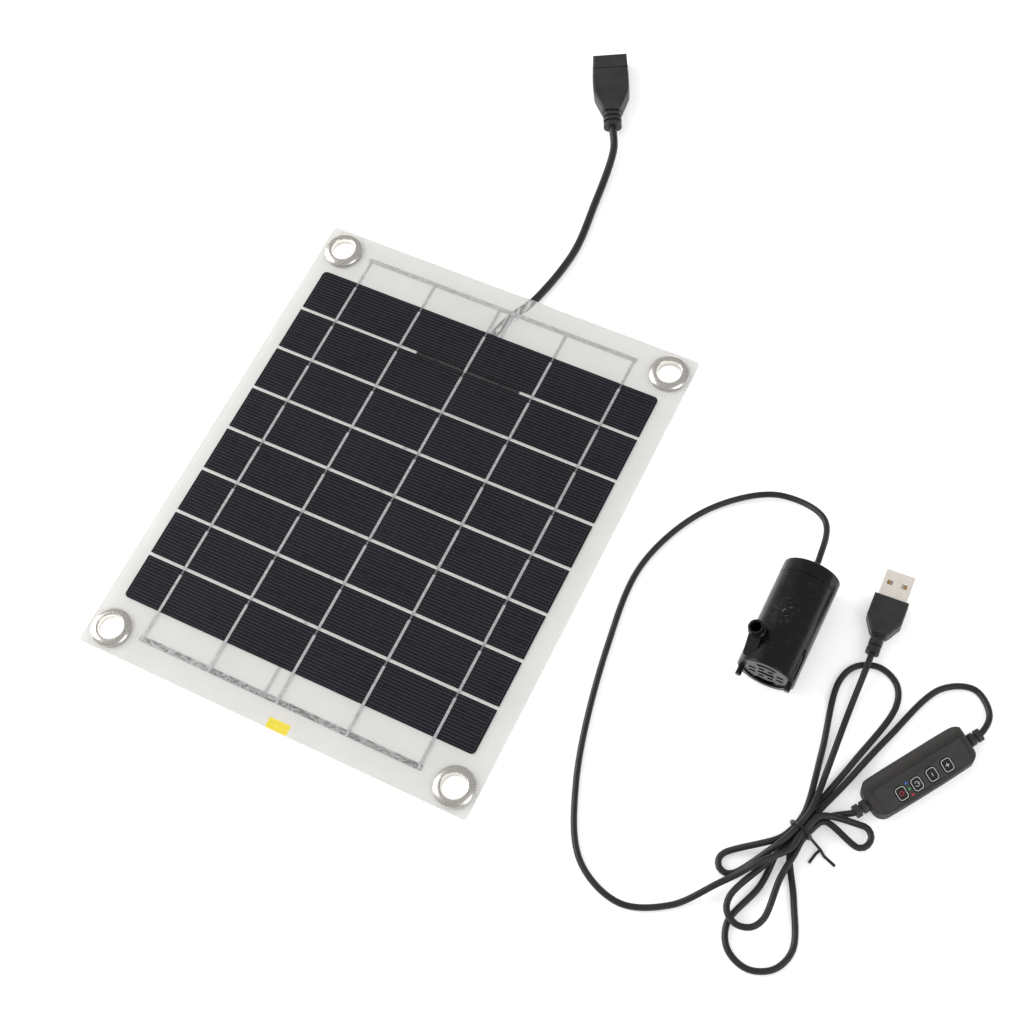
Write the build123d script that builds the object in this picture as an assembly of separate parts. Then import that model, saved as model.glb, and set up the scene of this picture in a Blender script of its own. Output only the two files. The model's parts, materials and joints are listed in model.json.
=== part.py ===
from build123d import *

import math
import os

import numpy as np

# Solar fountain pump: a frosted solar panel with an output cable and USB socket, and a loose pump set of
# USB plug, tied cable, in-line timer controller and submersible pump.
#
# Units are millimetres and +Z is up. The origin is the middle of the four eyelets, on the underside of the
# panel. +Y runs along the panel's long side towards the edge where the output cable leaves. The junction box
# holds the panel level above the ground, and the socket and the pump set lie on the same ground.

# ---------------------------------------------------------------- driving dimensions

PANEL_WIDTH = 182.0
PANEL_LENGTH = 222.0
PANEL_CORNER_RADIUS = 1.5
BACK_SHEET_THICKNESS = 0.8
CELL_LAYER_THICKNESS = 0.7
FRONT_FILM_THICKNESS = 0.5

CELL_ROWS = 8
CELL_WIDTH = 166.0
CELL_HEIGHT = 20.5
CELL_THICKNESS = 0.2
CELL_GAP = 1.5
CELL_CORNER_RADIUS = 2.0
ARRAY_CENTRE = (-1.0, 1.0)

BUSBARS = 5
BUSBAR_PITCH = 32.7
RIBBON_WIDTH = 1.2
RIBBON_THICKNESS = 0.15

EYELET_SPACING = (162.0, 202.0)
EYELET_BORE_RADIUS = 5.3
EYELET_BARREL_RADIUS = 5.7
EYELET_FLANGE_RADIUS = 8.7
EYELET_DOME_HEIGHT = 1.3
EYELET_BACK = -0.9

BOX_SIZE = (52.0, 36.0)
BOX_CENTRE = (0.0, 66.5)
BOX_WALL = 1.5
GROUND = -8.0

PANEL_CABLE_RADIUS = 1.75
CABLE_RADIUS = 1.3

SOCKET_END = (1.0, 213.5)
SOCKET_HEADING = 117.0
SOCKET_LENGTH = 40.0
SOCKET_WIDTH = 17.0
SOCKET_THICKNESS = 8.5

PLUG_END = (206.1, 19.2)
PLUG_HEADING = 93.0
PLUG_SHELL = (12.0, 4.5)
PLUG_SHELL_WALL = 0.3
PLUG_SHELL_REACH = 11.75
PLUG_BOOT = (14.2, 7.4)

CONTROLLER_CENTRE = (240.1, -19.0)
CONTROLLER_HEADING = 57.0
CONTROLLER_LENGTH = 46.5
CONTROLLER_WIDTH = 16.6
CONTROLLER_HIGH_SIDE = 11.0
CONTROLLER_LOW_SIDE = 6.0
CONTROLLER_WALL = 1.2
CONTROLLER_SPLIT = 3.2
CONTROLLER_BOW = 0.6
BUTTON_SIZE = (4.8, 5.8)
BUTTON_PITCH = 7.04
BUTTON_TRAVEL = 0.4

PUMP_RADIUS = 12.0
PUMP_LENGTH = 48.0
PUMP_AXIS_X = 172.5
PUMP_FRONT_Y = -9.5
PUMP_WALL = 1.4
OUTLET_RADIUS = 3.1
OUTLET_BORE_RADIUS = 2.2

TIE_CENTRE = (208.5, -59.0)
TIE_HEADING = 72.0
TIE_WIRE_RADIUS = 0.6

RUNNING_CLEARANCE = 0.05
SLIP_CLEARANCE = 0.1

# ---------------------------------------------------------------- derived levels

BACK_TOP = BACK_SHEET_THICKNESS
LAYER_TOP = BACK_TOP + CELL_LAYER_THICKNESS
PANEL_TOP = LAYER_TOP + FRONT_FILM_THICKNESS
CELL_BOTTOM = BACK_SHEET_THICKNESS + 0.25
CELL_TOP = CELL_BOTTOM + CELL_THICKNESS
ROW_PITCH = CELL_HEIGHT + CELL_GAP
ARRAY_LENGTH = CELL_ROWS * ROW_PITCH - CELL_GAP
ARRAY_TOP = ARRAY_CENTRE[1] + ARRAY_LENGTH / 2
ARRAY_BOTTOM = ARRAY_CENTRE[1] - ARRAY_LENGTH / 2
TOP_BUS_Y = 101.5
BOTTOM_BUS_Y = -99.5
BUS_LENGTH = (BUSBARS - 1) * BUSBAR_PITCH + 2 * RIBBON_WIDTH
BUSBAR_XS = [ARRAY_CENTRE[0] + (i - (BUSBARS - 1) / 2) * BUSBAR_PITCH for i in range(BUSBARS)]
POSITIVE_LEAD_X = 5.5
NEGATIVE_LEAD_X = -7.5
POSITIVE_SLOT_Y = BOX_CENTRE[1] + 4.0
NEGATIVE_SLOT_Y = BOX_CENTRE[1] - 6.0
BOARD_TOP = -2.6
EYELET_CENTRES = [(x * EYELET_SPACING[0] / 2, y * EYELET_SPACING[1] / 2) for x in (-1, 1) for y in (-1, 1)]
STANDING = (Align.CENTER, Align.CENTER, Align.MIN)

nodes = {}


# ---------------------------------------------------------------- helpers


def block(x, y, z):
    """A box between the limits x, y and z, each a (low, high) pair."""
    sizes = [high - low for low, high in (x, y, z)]
    middle = [(high + low) / 2 for low, high in (x, y, z)]
    return Pos(*middle) * Box(*sizes)


def rod(radius, low, high):
    """A cylinder on the Z axis from low to high."""
    return Pos(0, 0, low) * Cylinder(radius, high - low, align=STANDING)


def ring(outer, inner, low, high):
    """A plain ring on the Z axis from low to high."""
    return rod(outer, low, high) - rod(inner, low, high)


def rounded_plate(width, length, radius, low, high):
    """A flat plate with rounded corners, from low to high."""
    return Pos(0, 0, low) * extrude(RectangleRounded(width, length, radius), high - low)


def group(shapes):
    """Separate solids kept together as one node."""
    return Compound(children=[solid for shape in shapes for solid in shape.solids()])


def unit(heading):
    """The level unit vector at a heading in degrees, counter-clockwise from +X."""
    return np.array([math.cos(math.radians(heading)), math.sin(math.radians(heading))])


def smooth_path(waypoints, step=1.8):
    """Points along a smooth curve through the waypoints. Heights ease between them and never overshoot."""
    points = [np.array(p, float) for p in waypoints]
    padded = [2 * points[0] - points[1], *points, 2 * points[-1] - points[-2]]
    path = []
    for before, start, end, after in zip(padded, padded[1:], padded[2:], padded[3:]):
        spans = [math.dist(a[:2], b[:2]) ** 0.5 for a, b in ((before, start), (start, end), (end, after))]
        middle = (end - start) / spans[1]
        leaving = (start - before) / spans[0] - (end - before) / (spans[0] + spans[1]) + middle
        arriving = middle - (after - start) / (spans[1] + spans[2]) + (after - end) / spans[2]
        count = max(2, round(math.dist(start[:2], end[:2]) / step))
        for share in np.arange(count) / count:
            eased = share * share * (3 - 2 * share)
            bend = (share**3 - 2 * share**2 + share) * leaving + (share**3 - share**2) * arriving
            place = start * (1 - eased) + end * eased + bend * spans[1]
            place[2] = start[2] * (1 - eased) + end[2] * eased
            path.append(place)
    path.append(points[-1])
    return path


def round_cable(path, radius):
    """A round cable along the points of a path, with one flat-sided step between each pair of points."""
    sections = []
    for before, here, after in zip([path[0], *path], path, [*path[1:], path[-1]]):
        along = after - before
        sideways = np.cross((0, 0, 1), along)
        place = Plane(origin=tuple(here), x_dir=tuple(sideways), z_dir=tuple(along))
        sections.append(place * Circle(radius))
    return loft(sections, ruled=True)


# ---------------------------------------------------------------- solar panel


def row_top(row):
    """The upper edge of a row of cells, where row 0 is nearest the output cable."""
    return ARRAY_TOP - row * ROW_PITCH


def sheet(low, high):
    """One full-size layer of the laminate, with the four eyelet holes."""
    hole = rod(EYELET_BARREL_RADIUS + SLIP_CLEARANCE, low - 1, high + 1)
    holes = [Pos(x, y, 0) * hole for x, y in EYELET_CENTRES]
    return rounded_plate(PANEL_WIDTH, PANEL_LENGTH, PANEL_CORNER_RADIUS, low, high) - holes


def solar_cells():
    """Eight strips of one cut cell, with the outer corners of the whole array rounded."""
    strips = []
    for row in range(CELL_ROWS):
        outline = Pos(ARRAY_CENTRE[0], row_top(row) - CELL_HEIGHT / 2) * Rectangle(CELL_WIDTH, CELL_HEIGHT)
        by_height = outline.vertices().sort_by(Axis.Y)
        if row == 0:
            outline = fillet(by_height[-2:], CELL_CORNER_RADIUS)
        if row == CELL_ROWS - 1:
            outline = fillet(by_height[:2], CELL_CORNER_RADIUS)
        strips.append(Pos(0, 0, CELL_BOTTOM) * extrude(outline, CELL_THICKNESS))
    return strips


def ribbon_bar(x, y, bottom, width=RIBBON_WIDTH):
    """A straight length of flat ribbon along Y, between the limits y."""
    return block((x - width / 2, x + width / 2), y, (bottom, bottom + RIBBON_THICKNESS))


def tabbing_ribbons():
    """Ribbons in series: each lies on one row's front, steps down in the gap and runs under the next row."""
    front_start = 2.5
    under_length = 16.0
    under = CELL_BOTTOM - RIBBON_THICKNESS
    step = 0.4
    ribbons = []
    for x in BUSBAR_XS:
        ribbons.append(ribbon_bar(x, (row_top(0) - under_length, TOP_BUS_Y + 1), under))
        for row in range(CELL_ROWS - 1):
            top = row_top(row) - front_start
            gap_middle = row_top(row) - CELL_HEIGHT - CELL_GAP / 2
            low = row_top(row + 1) - under_length
            front = ribbon_bar(x, (gap_middle - step / 2, top), CELL_TOP)
            back = ribbon_bar(x, (low, gap_middle + step / 2), under)
            riser = block(
                (x - RIBBON_WIDTH / 2, x + RIBBON_WIDTH / 2),
                (gap_middle - step / 2, gap_middle + step / 2),
                (under, CELL_TOP + RIBBON_THICKNESS),
            )
            ribbons.append(front + back + riser)
        last_top = row_top(CELL_ROWS - 1) - front_start
        ribbons.append(ribbon_bar(x, (BOTTOM_BUS_Y - 1.2, last_top), CELL_TOP))
    return ribbons


def bus_ribbon(y, width, bottom, top):
    """A cross ribbon that joins the five busbars."""
    low = ARRAY_CENTRE[0] - BUS_LENGTH / 2
    return block((low, low + BUS_LENGTH), (y - width / 2, y + width / 2), (bottom, top))


def lead_ribbon(x, start_y, slot_y):
    """A lead under the cells from a cross ribbon to its slot, turned down through the sheet to the board."""
    width = 1.5
    bottom = BACK_SHEET_THICKNESS
    top = bottom + 0.1
    sides = (x - width / 2, x + width / 2)
    flat = block(sides, sorted((start_y, slot_y)), (bottom, top))
    leg = block(sides, (slot_y - 0.1, slot_y + 0.1), (BOARD_TOP, top))
    return flat + leg


def lead_slots():
    """The two slots in the back sheet that the leads pass through."""
    return [
        block((x - 1.3, x + 1.3), (y - 0.5, y + 0.5), (-5, BACK_SHEET_THICKNESS + 0.01))
        for x, y in ((POSITIVE_LEAD_X, POSITIVE_SLOT_Y), (NEGATIVE_LEAD_X, NEGATIVE_SLOT_Y))
    ]


def eyelet_flange():
    """The rolled half of an eyelet: a domed ring on the front and a barrel through the laminate."""
    radius = (EYELET_FLANGE_RADIUS - EYELET_BORE_RADIUS) / 2
    middle = EYELET_BORE_RADIUS + radius
    dome = EllipticalCenterArc((middle, PANEL_TOP), radius, EYELET_DOME_HEIGHT, start_angle=0, arc_size=180)
    profile = make_face(
        [
            dome,
            Line((EYELET_BORE_RADIUS, PANEL_TOP), (EYELET_BORE_RADIUS, EYELET_BACK)),
            Line((EYELET_BORE_RADIUS, EYELET_BACK), (EYELET_BARREL_RADIUS, EYELET_BACK)),
            Line((EYELET_BARREL_RADIUS, EYELET_BACK), (EYELET_BARREL_RADIUS, PANEL_TOP)),
            Line((EYELET_BARREL_RADIUS, PANEL_TOP), (EYELET_FLANGE_RADIUS, PANEL_TOP)),
        ]
    )
    return revolve(Plane.XZ * profile, Axis.Z)


def eyelet_washer():
    """The flat ring that the barrel is pressed over behind the panel."""
    washer = ring(EYELET_FLANGE_RADIUS - 0.3, EYELET_BARREL_RADIUS + 0.02, EYELET_BACK, 0)
    return chamfer(washer.edges().group_by(Axis.Z)[0].sort_by(SortBy.LENGTH)[-1], 0.3)


cells = solar_cells()
tabs = tabbing_ribbons()
top_bus = bus_ribbon(TOP_BUS_Y, 1.8, CELL_BOTTOM, CELL_BOTTOM + 0.2)
bottom_bus = bus_ribbon(BOTTOM_BUS_Y, 2.4, CELL_TOP - 0.25, CELL_TOP)
negative_lead = lead_ribbon(NEGATIVE_LEAD_X, BOTTOM_BUS_Y, NEGATIVE_SLOT_Y)
positive_lead = lead_ribbon(POSITIVE_LEAD_X, TOP_BUS_Y, POSITIVE_SLOT_Y)
embedded = [*cells, *tabs, top_bus, bottom_bus, negative_lead, positive_lead]

nodes["back_sheet"] = sheet(0, BACK_TOP) - lead_slots()
nodes["encapsulant"] = sheet(BACK_TOP, LAYER_TOP) - embedded
nodes["front_film"] = sheet(LAYER_TOP, PANEL_TOP)
nodes["solar_cell_strips"] = group(cells)
nodes["tabbing_ribbons"] = group(tabs)
nodes["top_bus_ribbon"] = top_bus
nodes["bottom_bus_ribbon"] = bottom_bus
nodes["negative_lead_ribbon"] = negative_lead
nodes["positive_lead_ribbon"] = positive_lead
nodes["eyelet_flanges"] = group([Pos(x, y, 0) * eyelet_flange() for x, y in EYELET_CENTRES])
nodes["eyelet_washers"] = group([Pos(x, y, 0) * eyelet_washer() for x, y in EYELET_CENTRES])
nodes["inspection_tab"] = block((-0.8, 9.2), (-PANEL_LENGTH / 2 + 0.2, -106.2), (-0.12, 0))

# ---------------------------------------------------------------- junction box

ADHESIVE_THICKNESS = 0.6
BOX_TOP = -ADHESIVE_THICKNESS
LID_TOP = GROUND + 1.2
BOARD_THICKNESS = 1.0
BOARD_BOTTOM = BOARD_TOP - BOARD_THICKNESS
BOX_CORNER_RADIUS = 2.5
GLAND_RADIUS = PANEL_CABLE_RADIUS + 0.8
CABLE_EXIT_Z = GROUND + 3.9
BOX_EDGE_Y = BOX_CENTRE[1] + BOX_SIZE[1] / 2
in_box = Pos(BOX_CENTRE[0], BOX_CENTRE[1], 0)


def junction_box():
    """The open tray glued to the back sheet, with a cable hole and four pegs that carry the board."""
    outer = rounded_plate(*BOX_SIZE, BOX_CORNER_RADIUS, LID_TOP, BOX_TOP)
    inner_size = [side - 2 * BOX_WALL for side in BOX_SIZE[:2]]
    inner = rounded_plate(*inner_size, 1.0, LID_TOP, BOX_TOP - 1.0)
    cable_hole = Pos(0, BOX_SIZE[1] / 2, CABLE_EXIT_Z) * Rot(X=90) * Cylinder(GLAND_RADIUS, 6)
    pegs = [Pos(x, y, 0) * rod(1.2, BOARD_TOP, BOX_TOP - 1.0) for x in (-20, 20) for y in (-12, 12)]
    return in_box * (outer - inner - cable_hole + pegs) - lead_slots()


def junction_lid():
    """The flat lid underneath, with a lip that locates inside the walls."""
    plate = rounded_plate(*BOX_SIZE, BOX_CORNER_RADIUS, GROUND, LID_TOP)
    lip_outer = (BOX_SIZE[0] - 2 * BOX_WALL - 0.2, BOX_SIZE[1] - 2 * BOX_WALL - 0.2)
    lip = rounded_plate(*lip_outer, 0.9, LID_TOP, LID_TOP + 0.6)
    lip -= rounded_plate(lip_outer[0] - 2, lip_outer[1] - 2, 0.9, LID_TOP, LID_TOP + 0.6)
    return in_box * (plate + lip)


def gland():
    """The rubber grommet where the output cable leaves the box."""
    barrel = ring(GLAND_RADIUS - 0.02, PANEL_CABLE_RADIUS + 0.02, -BOX_WALL, 0)
    collar = ring(GLAND_RADIUS + 0.4, PANEL_CABLE_RADIUS + 0.02, 0, 2.0)
    return Pos(BOX_CENTRE[0], BOX_EDGE_Y, CABLE_EXIT_Z) * Rot(X=-90) * (barrel + collar)


def on_board(x, y, shape):
    """A component hung under the regulator board."""
    return Pos(BOX_CENTRE[0] + x, BOX_CENTRE[1] + y, BOARD_BOTTOM) * Rot(X=180) * shape


def inductor():
    """A square shielded power inductor with a round core showing."""
    base = rounded_plate(6.0, 6.0, 1.0, 0, 2.4)
    return base + rod(1.8, 2.4, 2.6)


adhesive_hole = rounded_plate(30, 16, 1.0, -1, 1)
nodes["box_adhesive"] = in_box * (
    rounded_plate(BOX_SIZE[0] - 2, BOX_SIZE[1] - 2, BOX_CORNER_RADIUS, BOX_TOP, 0) - adhesive_hole
)
nodes["junction_box"] = junction_box()
nodes["junction_lid"] = junction_lid()
nodes["regulator_board"] = in_box * rounded_plate(44, 28, 0.8, BOARD_BOTTOM, BOARD_TOP)
nodes["regulator_inductor"] = on_board(-12, 2, inductor())
nodes["regulator_chip"] = on_board(-2, 3, rounded_plate(5.0, 4.0, 0.3, 0, 1.5))
capacitor = rounded_plate(3.2, 2.5, 0.2, 0, 1.8)
nodes["regulator_capacitors"] = group([on_board(x, -6, capacitor) for x in (-14, -4, 6)])
nodes["blocking_diode"] = on_board(8, 3, rounded_plate(4.6, 2.8, 0.2, 0, 2.0))

# ---------------------------------------------------------------- output cable and USB socket

socket_along = unit(SOCKET_HEADING)
socket_place = Pos(SOCKET_END[0], SOCKET_END[1], GROUND + SOCKET_THICKNESS / 2) * Rot(Z=SOCKET_HEADING - 90)
SOCKET_OPENING = (12.6, 5.2)
SOCKET_SHELL_WALL = 0.35
SOCKET_DEPTH = 15.0


def relief_rings(length, width, thickness, rings, groove):
    """A strain relief along +Y from 0 to length: a rounded bar with grooves cut round it."""
    depth = 0.8
    roundness = 0.45
    core_size = (width - 2 * depth, thickness - 2 * depth)
    section = RectangleRounded(width, thickness, min(width, thickness) * roundness)
    bar = Rot(X=-90) * extrude(section, length)
    core = Rot(X=-90) * extrude(RectangleRounded(*core_size, min(core_size) * roundness), length)
    pitch = length / (rings + 0.5)
    for i in range(rings):
        low = pitch * (i + 0.7)
        bar -= block((-width, width), (low, low + groove), (-thickness, thickness)) - core
    return bar


def socket_overmold():
    """The moulded socket body: a ribbed neck, flared shoulders and a straight mouth with a groove round it."""
    half = SOCKET_WIDTH / 2
    side = [(3.4, 8.0), (4.6, 9.0), (half - 0.3, 18.0), (half, 22.0), (half, 28.0)]
    side.append((half - 0.5, SOCKET_LENGTH))
    outline = make_face(Polyline(*side, *[(-x, y) for x, y in reversed(side)], side[0]))
    softened = [v for v in outline.vertices() if 15 < v.Y < 25]
    outline = fillet(softened, 6.0)
    body = Pos(0, 0, -SOCKET_THICKNESS / 2) * extrude(outline, SOCKET_THICKNESS)
    body = fillet(body.edges().filter_by(Plane.XY), 1.2)
    neck = relief_rings(9.5, 8.4, 6.4, 3, 1.0)
    core = Rot(X=-90) * rod(PANEL_CABLE_RADIUS, 0, 12)
    groove_out = block((-20, 20), (31.5, 32.2), (-10, 10))
    groove_in = Rot(X=-90) * extrude(RectangleRounded(SOCKET_WIDTH - 1.3, SOCKET_THICKNESS - 0.6, 1.5), 60)
    pocket_width = SOCKET_OPENING[0] + 2 * SOCKET_SHELL_WALL
    pocket_height = SOCKET_OPENING[1] + 2 * SOCKET_SHELL_WALL
    pocket_low = SOCKET_LENGTH - SOCKET_DEPTH
    pocket = block(
        (-pocket_width / 2, pocket_width / 2), (pocket_low, 60), (-pocket_height / 2, pocket_height / 2)
    )
    return body + neck - core - (groove_out - groove_in) - pocket


def socket_shell():
    """The folded metal shell inside the socket's mouth, closed at the back."""
    half_width, half_height = SOCKET_OPENING[0] / 2, SOCKET_OPENING[1] / 2
    wall = SOCKET_SHELL_WALL
    low = SOCKET_LENGTH - SOCKET_DEPTH
    outer = block(
        (-half_width - wall, half_width + wall),
        (low, SOCKET_LENGTH),
        (-half_height - wall, half_height + wall),
    )
    inner = block((-half_width, half_width), (low + wall, SOCKET_LENGTH + 1), (-half_height, half_height))
    return outer - inner


def socket_tongue():
    """The plastic tongue that carries the contacts, in the upper half of the mouth."""
    low = SOCKET_LENGTH - SOCKET_DEPTH + SOCKET_SHELL_WALL
    back = block((-SOCKET_OPENING[0] / 2, SOCKET_OPENING[0] / 2), (low, low + 2.5), (-2.6, 2.6))
    tongue = block((-5.55, 5.55), (low + 2.5, SOCKET_LENGTH - 1.2), (0.3, 2.1))
    return back + tongue


def contact_strips(xs, y, z):
    """Four flat contact strips along Y."""
    return group([block((x - 0.5, x + 0.5), y, z) for x in xs])


CONTACT_XS = (-3.5, -1.0, 1.0, 3.5)
box_exit = (BOX_CENTRE[0], BOX_EDGE_Y - 3.0, CABLE_EXIT_Z)
socket_back = np.array(SOCKET_END)
cable_low = GROUND + PANEL_CABLE_RADIUS + 0.05
panel_cable_points = [
    box_exit,
    (0.0, BOX_EDGE_Y + 4.0, CABLE_EXIT_Z),
    (2.0, 100.0, GROUND + 3.0),
    (8.5, 116.0, cable_low),
    (13.5, 145.0, cable_low),
    (11.0, 172.0, cable_low),
    (*(socket_back - 12.0 * socket_along), GROUND + SOCKET_THICKNESS / 2 - 1.0),
    (*socket_back, GROUND + SOCKET_THICKNESS / 2),
    (*(socket_back + 11.0 * socket_along), GROUND + SOCKET_THICKNESS / 2),
]
nodes["panel_cable"] = round_cable(smooth_path(panel_cable_points), PANEL_CABLE_RADIUS)
nodes["cable_gland"] = gland() - nodes["panel_cable"]
nodes["socket_overmold"] = socket_place * socket_overmold() - nodes["panel_cable"]
nodes["socket_shell"] = socket_place * socket_shell()
nodes["socket_tongue"] = socket_place * socket_tongue()
socket_contact_reach = (28.5, SOCKET_LENGTH - 2.0)
nodes["socket_contacts"] = socket_place * contact_strips(CONTACT_XS, socket_contact_reach, (0.1, 0.3))

# ---------------------------------------------------------------- USB plug

PLUG_BOOT_START = 9.0
PLUG_BOOT_LENGTH = 15.5
PLUG_MOUTH = PLUG_BOOT_START + PLUG_BOOT_LENGTH + PLUG_SHELL_REACH
plug_along = unit(PLUG_HEADING)
PLUG_Z = GROUND + PLUG_BOOT[1] / 2
plug_place = Pos(PLUG_END[0], PLUG_END[1], PLUG_Z) * Rot(Z=PLUG_HEADING - 90)


def plug_overmold():
    """The moulded grip: straight sides, chamfered shoulders and a stepped strain relief."""
    half = PLUG_BOOT[0] / 2
    front = PLUG_BOOT_START + PLUG_BOOT_LENGTH
    side = [(3.1, PLUG_BOOT_START - 1), (4.0, PLUG_BOOT_START)]
    side += [(half, PLUG_BOOT_START + 5.5), (half, front)]
    outline = make_face(Polyline(*side, *[(-x, y) for x, y in reversed(side)], side[0]))
    body = Pos(0, 0, -PLUG_BOOT[1] / 2) * extrude(outline, PLUG_BOOT[1])
    body = fillet(body.edges().filter_by(Plane.XY), 0.9)
    relief = relief_rings(PLUG_BOOT_START, 5.6, 5.0, 2, 1.2)
    shell_pocket = block((-PLUG_SHELL[0] / 2, PLUG_SHELL[0] / 2), (front - 6, front + 1), (-2.25, 2.25))
    return body + relief - shell_pocket


def plug_shell():
    """The metal plug shell with its two latch windows on each broad face."""
    width, height = PLUG_SHELL
    low = PLUG_MOUTH - PLUG_SHELL_REACH - 6
    shell = block((-width / 2, width / 2), (low, PLUG_MOUTH), (-height / 2, height / 2))
    shell = fillet(shell.edges().filter_by(Axis.Y), 0.4)
    inside = block(
        (-width / 2 + PLUG_SHELL_WALL, width / 2 - PLUG_SHELL_WALL),
        (low + PLUG_SHELL_WALL, PLUG_MOUTH + 1),
        (-height / 2 + PLUG_SHELL_WALL, height / 2 - PLUG_SHELL_WALL),
    )
    window_y = PLUG_MOUTH - 6.4
    windows = [block((x - 1.15, x + 1.15), (window_y, window_y + 2.0), (-5, 5)) for x in (-2.95, 2.95)]
    return shell - inside - windows


def plug_tongue():
    """The plastic insert that fills the lower half of the shell."""
    half = PLUG_SHELL[0] / 2 - PLUG_SHELL_WALL
    floor = -PLUG_SHELL[1] / 2 + PLUG_SHELL_WALL
    low = PLUG_MOUTH - PLUG_SHELL_REACH - 6 + PLUG_SHELL_WALL
    return block((-half + 0.05, half - 0.05), (low, PLUG_MOUTH - 0.4), (floor, -0.1))


nodes["plug_shell"] = plug_place * plug_shell()
nodes["plug_tongue"] = plug_place * plug_tongue()
plug_contact_reach = (PLUG_MOUTH - 10.0, PLUG_MOUTH - 1.2)
nodes["plug_contacts"] = plug_place * contact_strips(CONTACT_XS, plug_contact_reach, (-0.1, 0.1))

# ---------------------------------------------------------------- in-line controller

controller_place = Pos(*CONTROLLER_CENTRE, GROUND) * Rot(Z=CONTROLLER_HEADING)
controller_along = unit(CONTROLLER_HEADING)
SLOPE = math.degrees(math.atan2(CONTROLLER_HIGH_SIDE - CONTROLLER_LOW_SIDE, CONTROLLER_WIDTH))
PLAN_CORNER_RADIUS = 4.6
SHOULDER_RADIUS = 5.0
END_RADIUS = 3.2
LOW_EDGE_RADIUS = 1.3
FLOOR_EDGE_RADIUS = 1.2
LEAD_HEIGHT = 3.4
RELIEF_LENGTH = 6.0
RELIEF_SIZE = (5.2, 4.0)
RELIEF_FLANGE = (6.0, 4.2)
BUTTON_OFFSET = -4.0
BUTTON_PROUD = 0.3
BUTTON_CORNER_RADIUS = 1.6
BUTTON_FLANGE = (5.6, 6.2, 0.5)
BUTTON_XS = [-10.9 + i * BUTTON_PITCH for i in range(4)]
BUTTON_NAMES = ("power_button", "timer_button", "minus_button", "plus_button")
LED_SIZE = 1.0
LED_PLACES = [(BUTTON_XS[0] + BUTTON_PITCH / 2, y) for y in (-1.7, -4.1, -6.5)]
BOARD_LEVEL = 1.9
BOARD_SIZE = (38.0, 11.5, 0.8)
CABLE_INSIDE = 3.0


def top_height(y):
    """Height of the sloping top face at a distance y across the controller."""
    middle = (CONTROLLER_HIGH_SIDE + CONTROLLER_LOW_SIDE) / 2
    return middle + y * (CONTROLLER_HIGH_SIDE - CONTROLLER_LOW_SIDE) / CONTROLLER_WIDTH


def bowed_plan(half_length, half_width, corner_radius):
    """The outline seen from above: long sides and ends that bulge a little, with rounded corners."""
    x, y = half_length - CONTROLLER_BOW / 2, half_width - CONTROLLER_BOW
    corners = [(x, y), (-x, y), (-x, -y), (x, -y)]
    middles = [(0, half_width), (-half_length, 0), (0, -half_width), (half_length, 0)]
    sides = [ThreePointArc(*points) for points in zip(corners, middles, corners[1:] + corners[:1])]
    outline = make_face(sides)
    return fillet(outline.vertices(), corner_radius)


def controller_form(inset):
    """The controller's outer form moved inwards by inset. Its top slopes to the buttons from a soft shoulder."""
    half_length = CONTROLLER_LENGTH / 2 - inset
    half_width = CONTROLLER_WIDTH / 2 - inset
    drop = inset / math.cos(math.radians(SLOPE))
    high, low = top_height(half_width) - drop, top_height(-half_width) - drop
    tighter = 0.7 * inset
    plan = extrude(bowed_plan(half_length, half_width, PLAN_CORNER_RADIUS - inset), 20)
    corners = [(-half_width, inset), (half_width, inset), (half_width, high), (-half_width, low)]
    section = make_face(Polyline(*corners, corners[0]))
    section = fillet(section.vertices().sort_by(Axis.Y)[-1], SHOULDER_RADIUS - inset)
    section = fillet(section.vertices().sort_by(Axis.X)[:2].sort_by(Axis.Y)[-1], LOW_EDGE_RADIUS - tighter)
    section = fillet(section.vertices().sort_by(Axis.Y)[:2], FLOOR_EDGE_RADIUS - tighter)
    across = extrude(Plane.YZ * section, half_length, both=True)
    profile = Pos(0, -10) * Rectangle(2 * half_length, 20)
    profile = fillet(profile.vertices().sort_by(Axis.Y)[-2:], END_RADIUS - 2 * inset)
    lengthwise = extrude(Plane.XZ * profile, 40, both=True)
    return plan & across & Pos(0, 0, top_height(0) - drop) * Rot(X=SLOPE) * lengthwise


def on_slope(x, y):
    """A place on the top face, with its Z axis square to the slope."""
    return Pos(x, y, top_height(y)) * Rot(X=SLOPE)


def button_window(x):
    """The opening in the top shell for one button."""
    size = [s + 2 * SLIP_CLEARANCE for s in BUTTON_SIZE]
    return on_slope(x, BUTTON_OFFSET) * rounded_plate(*size, BUTTON_CORNER_RADIUS + SLIP_CLEARANCE, -4, 3)


def button(x):
    """One push button: a rounded cap that stands a little proud, over a flange that keeps it in the shell."""
    below = -CONTROLLER_WALL - RUNNING_CLEARANCE
    width, length, thickness = BUTTON_FLANGE
    cap = rounded_plate(*BUTTON_SIZE, BUTTON_CORNER_RADIUS, below, BUTTON_PROUD)
    cap = fillet(cap.edges().group_by(Axis.Z)[-1], 0.25)
    flange = rounded_plate(width, length, BUTTON_CORNER_RADIUS, below - thickness, below)
    return on_slope(x, BUTTON_OFFSET) * (cap + flange)


def led_pipe(x, y):
    """A small square light pipe beside the buttons."""
    return on_slope(x, y) * rounded_plate(LED_SIZE, LED_SIZE, 0.3, -2.0, RUNNING_CLEARANCE)


def led_window(x, y):
    """The hole in the top shell for one light pipe."""
    size = LED_SIZE + 2 * RUNNING_CLEARANCE
    return on_slope(x, y) * rounded_plate(size, size, 0.3, -2.5, 2)


def lead_hole(radius):
    """The bore for the cables through both ends of the controller."""
    return Pos(0, 0, LEAD_HEIGHT) * Rot(Y=90) * Cylinder(radius, CONTROLLER_LENGTH + 20)


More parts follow.
